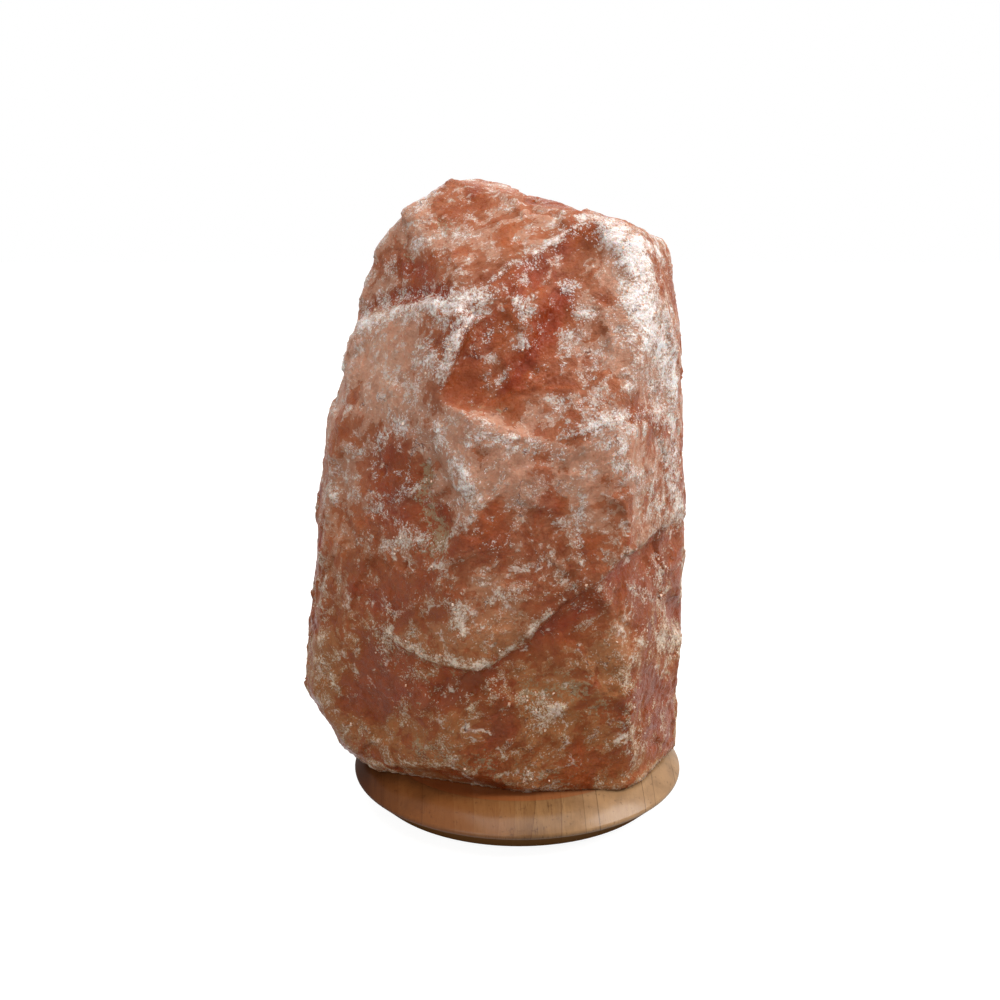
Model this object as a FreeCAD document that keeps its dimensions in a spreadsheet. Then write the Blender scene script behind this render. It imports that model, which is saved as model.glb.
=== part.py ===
"""Salt crystal lamp: a cleaved crystal on a turned wooden base, lit from inside.

Millimetres, +Z up. The origin is the centre of the base on the surface that the rubber feet
stand on. The viewer faces the front from -Y, and +X is to the viewer's right.
"""
import FreeCAD, Part
import math
import operator
import os
from types import SimpleNamespace

import Sketcher

# name, number, meaning
SIZES = (
    # turned base
    ("foot_height", 3.0, "rubber foot, floor to wood"),
    ("foot_radius", 8.0, "rubber foot"),
    ("foot_circle", 50.0, "centre of the base to the centre of a foot"),
    ("foot_count", 4, "rubber feet"),
    ("foot_sink_radius", 3.6, "recess for the screw head in a foot"),
    ("foot_sink_depth", 1.6, "recess for the screw head in a foot"),
    ("foot_screw_radius", 1.2, "screw that holds a foot"),
    ("foot_screw_head", 3.0, "radius of its head"),
    ("foot_screw_head_height", 1.2, "its head"),
    ("foot_screw_length", 9.0, "under its head"),
    ("base_thickness", 16.4, "wood, underside to the seat of the crystal"),
    ("rim_radius", 70.0, "widest edge of the base"),
    ("rim_rise", 8.0, "underside to the widest edge"),
    ("rim_round", 1.5, "rounding of the widest edge"),
    ("underside_radius", 62.0, "flat underside of the base"),
    ("seat_radius", 56.5, "flat top of the base"),
    ("flank_curve", 22.0, "radius of the rounded flank over the rim"),
    ("bore_radius", 20.0, "hole for the lamp unit"),
    ("channel_width", 7.0, "groove for a cord in the underside"),
    ("channel_depth", 7.0, "the same groove"),
    # screws that hold the crystal
    ("base_screw_circle", 36.0, "centre of the base to a screw"),
    ("base_screw_count", 3, "screws"),
    ("base_screw_radius", 2.2, "shank"),
    ("base_screw_length", 40.0, "under the head"),
    ("base_screw_head", 4.2, "radius of the head"),
    ("base_screw_head_height", 2.6, "head"),
    ("base_screw_hole", 2.6, "radius of the hole in the wood"),
    ("washer_radius", 6.4, "washer under the head"),
    ("washer_thickness", 1.0, "washer under the head"),
    ("sink_radius", 7.2, "recess for washer and head"),
    ("sink_depth", 5.0, "recess for washer and head"),
    ("plug_radius", 4.0, "plastic plug in the salt"),
    ("plug_length", 32.0, "plastic plug in the salt"),
    # crystal
    ("crystal_centre_x", -10.0, "point that the cleaved faces are measured from"),
    ("crystal_centre_height", 105.6, "the same point, over the seat"),
    ("cavity_radius", 25.0, "hole drilled in the crystal for the bulb"),
    ("cavity_depth", 110.0, "the same hole"),
    # spring clip and threaded entry
    ("clip_rise", 12.0, "underside of the base to the clip's plate"),
    ("clip_strip", 0.8, "thickness of the spring strip"),
    ("clip_width", 14.0, "width of the spring strip"),
    ("clip_leg", 10.0, "plate down to the end of a leg"),
    ("clip_tab", 4.0, "finger tab at the end of a leg"),
    ("clip_bend", 1.8, "outside radius where plate and leg meet"),
    ("clip_clearance", 0.05, "leg to the wall of the bore"),
    ("nipple_radius", 5.0, "threaded tube for the cord"),
    ("nipple_bore", 3.5, "way for the cord through the tube"),
    ("nipple_drop", 7.0, "tube below the clip's plate"),
    ("nipple_rise", 1.0, "tube above the upper nut"),
    ("nut_flats", 14.0, "across the flats"),
    ("nut_height", 3.0, "lock nut"),
    ("grip_screw_radius", 1.2, "screw that grips the cord"),
    ("grip_screw_head", 1.6, "radius of its head"),
    ("grip_screw_head_length", 2.4, "its head"),
    ("grip_screw_rise", 2.2, "end of the tube to the grip screw"),
    ("fit", 0.15, "clearance between pieces that are fixed together"),
    # lamp holder
    ("cap_radius", 13.5, "lower half of the holder"),
    ("cap_floor", 2.5, "floor of the lower half"),
    ("cap_height", 10.2, "lower half, up to the joint"),
    ("cap_foot_radius", 12.2, "underside of the lower half"),
    ("cap_bevel", 2.2, "height of the slope round the underside"),
    ("spigot_radius", 11.4, "collar that the upper half fits round"),
    ("spigot_wall", 1.8, "thickness of the collar"),
    ("spigot_height", 4.0, "collar over the joint"),
    ("insert_radius", 11.2, "ceramic body of the holder"),
    ("insert_height", 12.0, "ceramic body up to the contact's seat"),
    ("insert_rim_height", 4.0, "rim over the contact's seat"),
    ("insert_rim_bore", 8.4, "inside radius of the rim"),
    ("terminal_spacing", 15.0, "between the centres of the terminals"),
    ("terminal_length", 4.6, "terminal along X"),
    ("terminal_width", 5.6, "terminal along Y"),
    ("terminal_height", 7.5, "terminal"),
    ("pocket_depth", 8.0, "pocket for a terminal"),
    ("terminal_screw_radius", 1.2, "screw that clamps a wire"),
    ("terminal_screw_head", 1.9, "radius of its head"),
    ("terminal_screw_head_height", 1.6, "its head"),
    ("terminal_screw_length", 4.5, "in the terminal"),
    ("tongue_width", 4.0, "centre contact"),
    ("tongue_strip", 0.4, "thickness of the centre contact"),
    ("tongue_tail", 8.0, "far end of its foot from the axis"),
    ("tongue_heel", 4.4, "near end of its foot from the axis"),
    ("tongue_knee", 1.6, "start of its pad, before the axis"),
    ("tongue_tip", 2.2, "end of its pad, past the axis"),
    ("tongue_rise", 5.0, "its seat to the top of its pad"),
    ("rivet_radius", 0.8, "rivet of the centre contact"),
    ("rivet_head", 1.2, "radius of its head"),
    ("rivet_head_height", 0.8, "its head"),
    ("side_pin_radius", 0.6, "pin from the threaded shell to a terminal"),
    ("side_pin_place", 9.4, "the pin from the axis"),
    ("thread_pitch", 2.822, "knuckle thread, nine turns to the inch"),
    ("thread_wave", 0.4, "half the depth of the knuckle thread"),
    ("thread_gap", 0.3, "bulb thread to holder thread"),
    ("shell_wall", 0.4, "threaded shell of the holder"),
    ("shell_height", 14.6, "the same shell, over its flange"),
    ("shell_flange_radius", 10.6, "flange of the shell"),
    ("shell_flange_bore", 5.5, "hole in the flange"),
    ("skirt_mouth", 8.2, "mouth of the upper half, round the bulb cap"),
    ("skirt_rise", 1.5, "upper half over the shell"),
    ("skirt_top_radius", 11.0, "upper half, at its mouth"),
    ("skirt_straight", 22.0, "straight part of the upper half"),
    # bulb
    ("pip_radius", 2.4, "contact under the bulb"),
    ("pip_height", 1.4, "contact under the bulb"),
    ("insulator_radius", 5.4, "glass ring between contact and cap"),
    ("insulator_height", 1.6, "glass ring between contact and cap"),
    ("insulator_plug_radius", 4.3, "its upper part, inside the cap"),
    ("insulator_plug_height", 1.0, "its upper part, inside the cap"),
    ("bulb_thread_radius", 6.55, "mean radius of the cap's thread"),
    ("bulb_thread_length", 14.0, "threaded part of the cap"),
    ("bulb_cap_wall", 0.3, "metal of the cap"),
    ("bulb_cap_floor", 0.5, "floor of the cap"),
    ("flare_radius", 8.4, "flared edge of the cap"),
    ("flare_height", 4.5, "flared part of the cap"),
    ("bulb_length", 57.0, "whole bulb, contact to tip"),
    ("bulb_radius", 12.0, "globe"),
    ("bulb_neck", 5.6, "radius of the neck in the cap"),
    ("bulb_neck_sink", 6.0, "floor of the cap to the end of the neck"),
    ("bulb_cone", 17.0, "slope of the neck below the globe, degrees"),
    ("glass_wall", 0.7, "thickness of the globe"),
    ("stem_flange_radius", 5.5, "foot of the stem under the neck"),
    ("stem_flange", 0.6, "thickness of that foot"),
    ("stem_root", 4.6, "stem just over its foot"),
    ("stem_waist", 2.0, "stem above its slope"),
    ("stem_slope", 6.0, "height of the slope"),
    ("stem_height", 20.0, "stem over its foot"),
    ("wire_radius", 0.25, "lead wire"),
    ("wire_gap", 0.9, "lead wire from the axis"),
    ("wire_bend_rise", 5.0, "top of the stem to the bend of a lead wire"),
    ("filament_radius", 7.5, "bow of the filament"),
    ("filament_wire", 0.2, "radius of the filament"),
    ("filament_gap", 0.06, "filament over the ends of the lead wires"),
)

# Cleaved faces of the crystal: name, heading in degrees (0 right, -90 front, 90 back),
# lean in degrees (up is positive), and reach in millimetres from the crystal's centre point.
CLEAVED_FACES = (
    ("cap_left", -140, 21, 71.5),
    ("cap_peak", -160, 62, 123.5),
    ("cap_front", -101, 50, 101.0),
    ("saddle", 20, 70, 124.0),
    ("crown_right", -52, 76, 124.5),
    ("shoulder_top", -24, 54, 126.5),
    ("shoulder", -18, 33, 112.5),
    ("front_upper", -81, 21, 76.0),
    ("front_middle", -84, 1, 64.5),
    ("front_lower", -82, -9, 69.5),
    ("front_foot", -86, -42, 107.0),
    ("cheek", -134, 15, 66.5),
    ("left_upper", -162, 17, 73.5),
    ("left_front_middle", -130, 5, 60.0),
    ("left_middle", -166, 6, 70.5),
    ("left_front_lower", -124, -6, 66.0),
    ("left_lower", -160, 0, 76.5),
    ("left_foot", -156, -26, 101.5),
    ("left_front_foot", -145, -42, 112.5),
    ("front_left_foot", -108, -52, 109.0),
    ("left_back_upper", 160, 16, 72.0),
    ("left_back_middle", 165, 7, 70.0),
    ("left_back_lower", 165, -4, 83.5),
    ("left_back_foot", 160, -34, 111.5),
    ("right_upper", -16, 11, 85.5),
    ("right_middle", -13, 3, 77.0),
    ("right_front", -28, 0, 71.5),
    ("right_side", -9, -1, 79.5),
    ("right_front_foot", -50, -30, 112.0),
    ("right_back_upper", 20, 8, 83.0),
    ("right_back", 22, 0, 78.0),
    ("right_back_foot", 30, -34, 120.5),
    ("back", 92, 4, 60.0),
    ("back_lower", 97, -7, 65.5),
    ("back_left", 130, 5, 59.5),
    ("back_right", 58, 3, 65.0),
    ("back_top", 80, 36, 95.0),
    ("back_top_left", 142, 40, 97.5),
    ("back_foot", 90, -45, 108.0),
)

# Chips off the cleaved faces, each with a floor and a riser: name, heading and lean of the floor,
# turn of the chip about that direction (0 runs down from its riser, 90 to the viewer's right on
# the front, 180 up), and in millimetres from the crystal's centre point the reach of the floor,
# the distance of the riser, and the start of the chip along its riser, then its length there.
CLEAVED_CHIPS = (
    ("cap_crease", -138, 15, -161, 61.0, 68.5, -46.0, 53.0),
    ("front_scoop", -94, 14, 70, 66.5, -27.5, 31.0, 39.0),
    ("orange_hollow", -87, 24, 60, 75.0, -14.0, 27.5, 41.0),
    ("nose_valley", -121, 9, -52, 60.5, -24.0, -20.5, 31.5),
    ("valley_foot", -122, 4, -120, 59.5, -15.0, -23.5, 23.5),
    ("lower_right", -84, -3, 40, 62.5, 28.5, -38.5, 52.5),
    ("lower_side", -33, 8, 6, 65.0, 16.0, -31.0, 64.5),
    ("lower_shelf", -107, 6, -2, 53.5, 54.0, -6.5, 24.5),
    ("right_ledge", -30, -7, 178, 62.5, 53.5, -15.5, 40.5),
    ("crown_step", -84, 33, 31, 86.0, -51.5, 38.5, 32.0),
    ("left_notch", -137, 5, 88, 61.5, -26.5, -6.5, 26.0),
    ("back_step", 92, -2, -161, 53.0, 38.5, -22.5, 40.0),
    ("back_hollow", 127, 9, 33, 56.0, 7.0, -26.5, 45.0),
    ("back_shelf", 95, -2, 21, 59.0, 45.5, -47.0, 37.5),
    ("back_chip", 74, 4, -40, 58.5, 22.0, -11.5, 39.5),
    ("left_step", 154, 13, -24, 59.5, 22.5, 8.0, 36.0),
    ("left_chip", 158, 6, -161, 58.5, 57.0, -38.0, 32.0),
    ("right_step", 46, -3, -154, 63.0, 32.5, -4.5, 36.0),
    ("right_chip", -22, 5, -26, 67.0, 31.0, 17.0, 34.5),
    ("top_step", 25, 64, -162, 121.0, 12.5, -15.0, 30.5),
)

CHIP_SIZES = ("floor", "riser", "start", "run")
FULL_TURN = 360
FRONT = -90            # heading of the first screw of the base
FIRST_FOOT = 45        # heading of the first rubber foot
RIM_BELOW = 45         # degrees that the rounding of the rim turns below the widest point
RIM_ABOVE = 37         # and above it
THREAD_STEPS = 8       # sections in one turn of the knuckle thread
HEXAGON = 6

OPERATIONS = {"+": operator.add, "-": operator.sub, "*": operator.mul, "/": operator.truediv}


class Measure:
    """A number worked out from the sheet, together with the formula that gives it there."""

    def __init__(self, number, formula):
        self.number = number
        self.formula = formula

    def __add__(self, other):
        return combine(self, "+", other)

    def __radd__(self, other):
        return combine(other, "+", self)

    def __sub__(self, other):
        return combine(self, "-", other)

    def __rsub__(self, other):
        return combine(other, "-", self)

    def __mul__(self, other):
        return combine(self, "*", other)

    def __rmul__(self, other):
        return combine(other, "*", self)

    def __truediv__(self, other):
        return combine(self, "/", other)

    def __rtruediv__(self, other):
        return combine(other, "/", self)

    def __neg__(self):
        return combine(0, "-", self)


def measure(value):
    return value if isinstance(value, Measure) else Measure(value, f"{value}")


def combine(left, sign, right):
    left, right = measure(left), measure(right)
    number = OPERATIONS[sign](left.number, right.number)
    return Measure(number, f"({left.formula} {sign} {right.formula})")


def cosine(degrees):
    degrees = measure(degrees)
    return Measure(math.cos(math.radians(degrees.number)), f"cos({degrees.formula} * 1 deg)")


def sine(degrees):
    degrees = measure(degrees)
    return Measure(math.sin(math.radians(degrees.number)), f"sin({degrees.formula} * 1 deg)")


def make_sheet():
    """The spreadsheet of driving sizes, and the same sizes by name for the functions below."""
    sheet = doc.addObject("Spreadsheet::Sheet", "Sizes")
    reaches = tuple((f"reach_{name}", reach, "crystal's centre point to this face")
                    for name, heading, lean, reach in CLEAVED_FACES)
    chips = tuple((f"{word}_{chip[0]}", number, "place or length of this chip")
                  for chip in CLEAVED_CHIPS for word, number in zip(CHIP_SIZES, chip[4:]))
    named = {}
    for row, (name, number, meaning) in enumerate(SIZES + reaches + chips, start=1):
        sheet.set(f"A{row}", name)
        sheet.set(f"B{row}", str(number))
        sheet.set(f"C{row}", meaning)
        sheet.setAlias(f"B{row}", name)
        named[name] = Measure(number, f"Sizes.{name}")
    doc.recompute()
    return SimpleNamespace(**named)


# ---- helpers: binding, sketches and features -------------------------------------------------

def bind(thing, **properties):
    """Bind properties such as Length or Placement.Base.z (written Base_z) to measures."""
    for name, value in properties.items():
        path = name.replace("Base_", "Placement.Base.")
        thing.setExpression(path, measure(value).formula)


def make_body(label):
    body = doc.addObject("PartDesign::Body", label)
    body.Label = label
    return body


def new_sketch(body, name, role, height=0):
    """A sketch on one of the body's own origin planes, raised along that plane's normal."""
    sketch = body.newObject("Sketcher::SketchObject", name)
    plane = next(item for item in body.Origin.OriginFeatures if item.Role == role)
    sketch.AttachmentSupport = (plane, [""])
    sketch.MapMode = "FlatFace"
    sketch.setExpression("AttachmentOffset.Base.z", measure(height).formula)
    return sketch


def place_point(sketch, geometry, end, across, along):
    """Hold one end of a piece of geometry at its two bound coordinates."""
    for kind, value, axis in (("DistanceX", across, -2), ("DistanceY", along, -1)):
        value = measure(value)
        if value.number == 0:
            sketch.addConstraint(Sketcher.Constraint("PointOnObject", geometry, end, axis))
        else:
            index = sketch.addConstraint(
                Sketcher.Constraint(kind, -1, 1, geometry, end, value.number))
            sketch.setExpression(f"Constraints[{index}]", value.formula)


def arc_between(first, second, bend):
    """Arc from first to second: anticlockwise for a positive bend radius, else clockwise."""
    chord = second - first
    half = chord.Length / 2
    side = FreeCAD.Vector(-chord.y, chord.x, 0).normalize() * math.copysign(1, bend)
    centre = (first + second) * 0.5 + side * math.sqrt(bend * bend - half * half)
    start, end = (first, second) if bend > 0 else (second, first)
    angles = [math.atan2(point.y - centre.y, point.x - centre.x) for point in (start, end)]
    circle = Part.Circle(centre, FreeCAD.Vector(0, 0, 1), abs(bend))
    return Part.ArcOfCircle(circle, *angles)


def draw_outline(sketch, corners):
    """Closed outline. A corner is (across, along), with the bend radius to the next if it curves."""
    corners = [tuple(measure(value) for value in corner) for corner in corners]
    points = [FreeCAD.Vector(corner[0].number, corner[1].number, 0) for corner in corners]
    first_index = sketch.GeometryCount
    ends = []
    for number, corner in enumerate(corners):
        start, stop = points[number], points[(number + 1) % len(points)]
        if len(corner) == 2:
            sketch.addGeometry(Part.LineSegment(start, stop))
            ends.append((1, 2))
        else:
            bend = corner[2].number
            sketch.addGeometry(arc_between(start, stop, bend))
            ends.append((1, 2) if bend > 0 else (2, 1))
    for number, corner in enumerate(corners):
        following = (number + 1) % len(corners)
        here, there = first_index + number, first_index + following
        sketch.addConstraint(
            Sketcher.Constraint("Coincident", here, ends[number][1], there, ends[following][0]))
        place_point(sketch, here, ends[number][0], corner[0], corner[1])
        if len(corner) == 3:
            bend = corner[2] if corner[2].number > 0 else -corner[2]
            index = sketch.addConstraint(Sketcher.Constraint("Radius", here, bend.number))
            sketch.setExpression(f"Constraints[{index}]", bend.formula)


def draw_circle(sketch, across, along, radius):
    across, along, radius = measure(across), measure(along), measure(radius)
    centre = FreeCAD.Vector(across.number, along.number, 0)
    circle = sketch.addGeometry(Part.Circle(centre, FreeCAD.Vector(0, 0, 1), radius.number))
    place_point(sketch, circle, 3, across, along)
    index = sketch.addConstraint(Sketcher.Constraint("Radius", circle, radius.number))
    sketch.setExpression(f"Constraints[{index}]", radius.formula)


def revolve(body, name, corners):
    """Turn an outline of (radius, height) corners round the Z axis."""
    sketch = new_sketch(body, f"{name}_outline", "XZ_Plane")
    draw_outline(sketch, corners)
    feature = body.newObject("PartDesign::Revolution", f"{name}_turned")
    feature.Profile = sketch
    feature.ReferenceAxis = (sketch, ["V_Axis"])
    feature.Angle = FULL_TURN
    sketch.Visibility = False
    return feature


def turned_piece(label, corners):
    body = make_body(label)
    revolve(body, label, corners)
    return body


def cut_up(body, sketch, name, depth):
    """Pocket from a sketch on a horizontal plane, cutting upward."""
    doc.recompute()
    volume_before = body.Shape.Volume
    pocket = body.newObject("PartDesign::Pocket", name)
    pocket.Profile = sketch
    pocket.Reversed = True
    bind(pocket, Length=depth)
    doc.recompute()
    if not body.Shape.Volume < volume_before:
        raise RuntimeError(f"{name} cuts nothing")
    return pocket


def repeat_round(body, feature, count):
    """Copies of a feature round the Z axis."""
    pattern = body.newObject("PartDesign::PolarPattern", f"{feature.Name}_round")
    pattern.Originals = [feature]
    z_axis = next(item for item in body.Origin.OriginFeatures if item.Role == "Z_Axis")
    pattern.Axis = (z_axis, [""])
    pattern.Angle = FULL_TURN
    bind(pattern, Occurrences=count)
    body.Tip = pattern
    return pattern


def round_hole_up(body, name, across, along, radius, depth, height=0):
    sketch = new_sketch(body, f"{name}_outline", "XY_Plane", height)
    draw_circle(sketch, across, along, radius)
    return cut_up(body, sketch, name, depth)


def flat_piece(label, corners, bottom, thickness, hole_radius=None):
    """A plate with the given outline, seen from above, and an optional hole on the axis."""
    body = make_body(label)
    sketch = new_sketch(body, f"{label}_outline", "XY_Plane", bottom)
    draw_outline(sketch, corners)
    if hole_radius is not None:
        draw_circle(sketch, 0, 0, hole_radius)
    pad = body.newObject("PartDesign::Pad", f"{label}_plate")
    pad.Profile = sketch
    bind(pad, Length=thickness)
    return body


def box(name, low, high):
    """Box between two corners, each a triple of measures."""
    solid = doc.addObject("Part::Box", name)
    bind(solid, Length=high[0] - low[0], Width=high[1] - low[1], Height=high[2] - low[2],
         Base_x=low[0], Base_y=low[1], Base_z=low[2])
    return solid


def rod(name, radius, bottom, height, across=0, along=0):
    """Upright cylinder."""
    solid = doc.addObject("Part::Cylinder", name)
    bind(solid, Radius=radius, Height=height, Base_x=across, Base_y=along, Base_z=bottom)
    return solid


def cut(label, base, tool):
    result = doc.addObject("Part::Cut", label)
    result.Label = label
    result.Base = base
    result.Tool = tool
    return result


def group(label, solids):
    """Separate solids that share one node."""
    result = doc.addObject("Part::Compound", label)
    result.Label = label
    result.Links = solids
    return result


def coded(label, shape):
    """A shape that neither a sketched feature nor a primitive gives."""
    result = doc.addObject("Part::Feature", label)
    result.Label = label
    result.Shape = shape
    return result


# ---- turned base and what holds it together --------------------------------------------------

def wood_base(m):
    """Disc with an undercut lower edge, a rounded flank, and holes from the underside."""
    rim_centre = m.rim_radius - m.rim_round
    rim_height = heights.underside + m.rim_rise
    body = turned_piece("wood_base", (
        (m.bore_radius, heights.underside),
        (m.underside_radius, heights.underside),
        (rim_centre + m.rim_round * cosine(RIM_BELOW),
         rim_height - m.rim_round * sine(RIM_BELOW), m.rim_round),
        (rim_centre + m.rim_round * cosine(RIM_ABOVE),
         rim_height + m.rim_round * sine(RIM_ABOVE), m.flank_curve),
        (m.seat_radius, heights.seat),
        (m.bore_radius, heights.seat),
    ))
    sink_sketch = new_sketch(body, "screw_sink_outline", "XY_Plane", heights.underside)
    draw_circle(sink_sketch, 0, -m.base_screw_circle, m.sink_radius)
    sink = cut_up(body, sink_sketch, "screw_sink", m.sink_depth)
    repeat_round(body, sink, m.base_screw_count)
    hole = round_hole_up(body, "screw_hole", 0, -m.base_screw_circle, m.base_screw_hole,
                         m.base_thickness * 2, heights.underside)
    repeat_round(body, hole, m.base_screw_count)
    across, along = foot_place(m, 0)
    pilot = round_hole_up(body, "foot_screw_hole", across, along, m.foot_screw_radius + m.fit,
                          heights.foot_screw_top + m.fit - heights.underside,
                          heights.underside)
    repeat_round(body, pilot, m.foot_count)
    half = m.channel_width / 2
    channel_sketch = new_sketch(body, "channel_outline", "XY_Plane", heights.underside)
    draw_outline(channel_sketch, ((-half, 0), (half, 0), (half, m.rim_radius * 2),
                                  (-half, m.rim_radius * 2)))
    cut_up(body, channel_sketch, "cord_channel", m.channel_depth)
    return body


def base_screws(m):
    """Screws through the wood into the crystal, heads down in their recesses."""
    body = make_body("base_screws")
    body.AllowCompound = True
    sketch = new_sketch(body, "base_screw_section", "XY_Plane", heights.washer)
    draw_circle(sketch, 0, -m.base_screw_circle, m.base_screw_head)
    head = body.newObject("PartDesign::Pad", "base_screw_head")
    head.Profile = sketch
    head.Reversed = True
    bind(head, Length=m.base_screw_head_height)
    shank_sketch = new_sketch(body, "base_shank_section", "XY_Plane", heights.washer)
    draw_circle(shank_sketch, 0, -m.base_screw_circle, m.base_screw_radius)
    shank = body.newObject("PartDesign::Pad", "base_screw_shank")
    shank.Profile = shank_sketch
    bind(shank, Length=m.base_screw_length)
    repeat_bodies(body, (head, shank), m.base_screw_count)
    return body


def repeat_bodies(body, features, count):
    """Copies of several features round the Z axis, which stay separate solids."""
    pattern = repeat_round(body, features[0], count)
    pattern.Originals = list(features)
    return pattern


def screw_washers(m):
    body = make_body("screw_washers")
    body.AllowCompound = True
    sketch = new_sketch(body, "washer_section", "XY_Plane", heights.washer)
    draw_circle(sketch, 0, -m.base_screw_circle, m.washer_radius)
    draw_circle(sketch, 0, -m.base_screw_circle, m.base_screw_radius + m.fit)
    washer = body.newObject("PartDesign::Pad", "washer")
    washer.Profile = sketch
    bind(washer, Length=m.washer_thickness)
    repeat_round(body, washer, m.base_screw_count)
    return body


def wall_plugs(m):
    """Plastic sleeves in the crystal that the screws bite into."""
    body = make_body("wall_plugs")
    body.AllowCompound = True
    sketch = new_sketch(body, "plug_section", "XY_Plane", heights.seat)
    draw_circle(sketch, 0, -m.base_screw_circle, m.plug_radius)
    draw_circle(sketch, 0, -m.base_screw_circle, m.base_screw_radius + m.fit)
    plug = body.newObject("PartDesign::Pad", "plug")
    plug.Profile = sketch
    bind(plug, Length=m.plug_length)
    repeat_round(body, plug, m.base_screw_count)
    return body


def foot_place(m, number):
    heading = FIRST_FOOT + number * FULL_TURN / m.foot_count
    return m.foot_circle * cosine(heading), m.foot_circle * sine(heading)


def rubber_foot(m, number):
    """Round foot with a recess underneath for the head of its screw."""
    shank = m.foot_screw_radius + m.fit
    body = turned_piece(f"rubber_foot_{number + 1}", (
        (m.foot_sink_radius, 0),
        (m.foot_radius, 0),
        (m.foot_radius, m.foot_height),
        (shank, m.foot_height),
        (shank, m.foot_sink_depth),
        (m.foot_sink_radius, m.foot_sink_depth),
    ))
    across, along = foot_place(m, number)
    bind(body, Base_x=across, Base_y=along)
    return body


def foot_screws(m):
    body = make_body("foot_screws")
    body.AllowCompound = True
    across, along = foot_place(m, 0)
    sketch = new_sketch(body, "foot_screw_head_section", "XY_Plane", m.foot_sink_depth)
    draw_circle(sketch, across, along, m.foot_screw_head)
    head = body.newObject("PartDesign::Pad", "foot_screw_head")
    head.Profile = sketch
    head.Reversed = True
    bind(head, Length=m.foot_screw_head_height)
    shank_sketch = new_sketch(body, "foot_shank_section", "XY_Plane", m.foot_sink_depth)
    draw_circle(shank_sketch, across, along, m.foot_screw_radius)
    shank = body.newObject("PartDesign::Pad", "foot_screw_shank")
    shank.Profile = shank_sketch
    bind(shank, Length=m.foot_screw_length)
    repeat_bodies(body, (head, shank), m.foot_count)
    return body


# ---- crystal ---------------------------------------------------------------------------------

def rock_waste(m, name, turn, start, size):
    """Block of salt to take off, its first corner measured along the turned axes."""
    waste = doc.addObject("Part::Box", f"waste_{name}")
    bind(waste, Length=size[0], Width=size[1], Height=size[2])
    centre = f"vector({m.crystal_centre_x.formula}; 0; {heights.crystal_centre.formula})"
    corner = f"vector({'; '.join(value.formula for value in start)})"
    waste.setExpression("Placement", f"placement({centre} + {turn} * {corner}; {turn})")
    return waste


def salt_crystal(m):
    """Block cleaved by flat faces and chips, drilled from below for the bulb and the plugs."""
    reaches = [getattr(m, f"reach_{name}") for name, *_ in CLEAVED_FACES]
    half = max(reaches, key=lambda reach: reach.number) * 2
    rock = box("uncleaved_block", (m.crystal_centre_x - half, -half, heights.seat),
               (m.crystal_centre_x + half, half, heights.crystal_centre + half))
    waste_side = half * 4
    for name, heading, lean, _ in CLEAVED_FACES:
        turn = f"rotation({heading}; {90 - lean}; 0)"
        start = (half * -2, half * -2, getattr(m, f"reach_{name}"))
        waste = rock_waste(m, name, turn, start, (waste_side, waste_side, waste_side))
        rock = cut(f"cleaved_{name}", rock, waste)
    for name, heading, lean, roll, *_ in CLEAVED_CHIPS:
        floor, riser, start, run = (getattr(m, f"{word}_{name}") for word in CHIP_SIZES)
        turn = f"rotation({heading}; {90 - lean}; 0) * rotation({roll}; 0; 0)"
        waste = rock_waste(m, name, turn, (riser, start, floor), (waste_side, run, waste_side))
        rock = cut(f"chipped_{name}", rock, waste)
    cavity = rod("bulb_cavity", m.cavity_radius, heights.underside,
                 heights.seat + m.cavity_depth - heights.underside)
    rock = cut("drilled_crystal", rock, cavity)
    hole = rod("plug_hole_1", m.plug_radius + m.fit, heights.underside,
               heights.seat + m.plug_length + m.fit - heights.underside, 0, -m.base_screw_circle)
    for number in range(1, m.base_screw_count.number):
        rock = cut(f"plugged_crystal_{number}", rock, hole)
        heading = FRONT + number * FULL_TURN / m.base_screw_count
        hole = rod(f"plug_hole_{number + 1}", m.plug_radius + m.fit, heights.underside,
                   heights.seat + m.plug_length + m.fit - heights.underside,
                   m.base_screw_circle * cosine(heading), m.base_screw_circle * sine(heading))
    return cut("salt_crystal", rock, hole)


# ---- spring clip and threaded entry ----------------------------------------------------------

def spring_clip(m):
    """Bent strip: a plate under the holder and two legs that press on the wall of the bore."""
    outside = m.bore_radius - m.clip_clearance
    inside = outside - m.clip_strip
    leg_end = heights.clip - m.clip_leg
    plate_top = heights.clip + m.clip_strip
    inner_bend = m.clip_bend - m.clip_strip
    turned = turned_piece("clip_section", (
        (m.nipple_radius + m.fit, heights.clip),
        (inside - inner_bend, heights.clip, -inner_bend),
        (inside, heights.clip - inner_bend),
        (inside, leg_end + m.clip_strip),
        (outside - m.clip_tab, leg_end + m.clip_strip),
        (outside - m.clip_tab, leg_end),
        (outside, leg_end),
        (outside, plate_top - m.clip_bend, m.clip_bend),
        (outside - m.clip_bend, plate_top),
        (m.nipple_radius + m.fit, plate_top),
    ))
    half = m.clip_width / 2
    strip = box("clip_strip_width", (-m.bore_radius, -half, leg_end),
                (m.bore_radius, half, plate_top))
    clip = doc.addObject("Part::Common", "spring_clip")
    clip.Label = "spring_clip"
    clip.Base = turned
    clip.Tool = strip
    return clip


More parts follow.
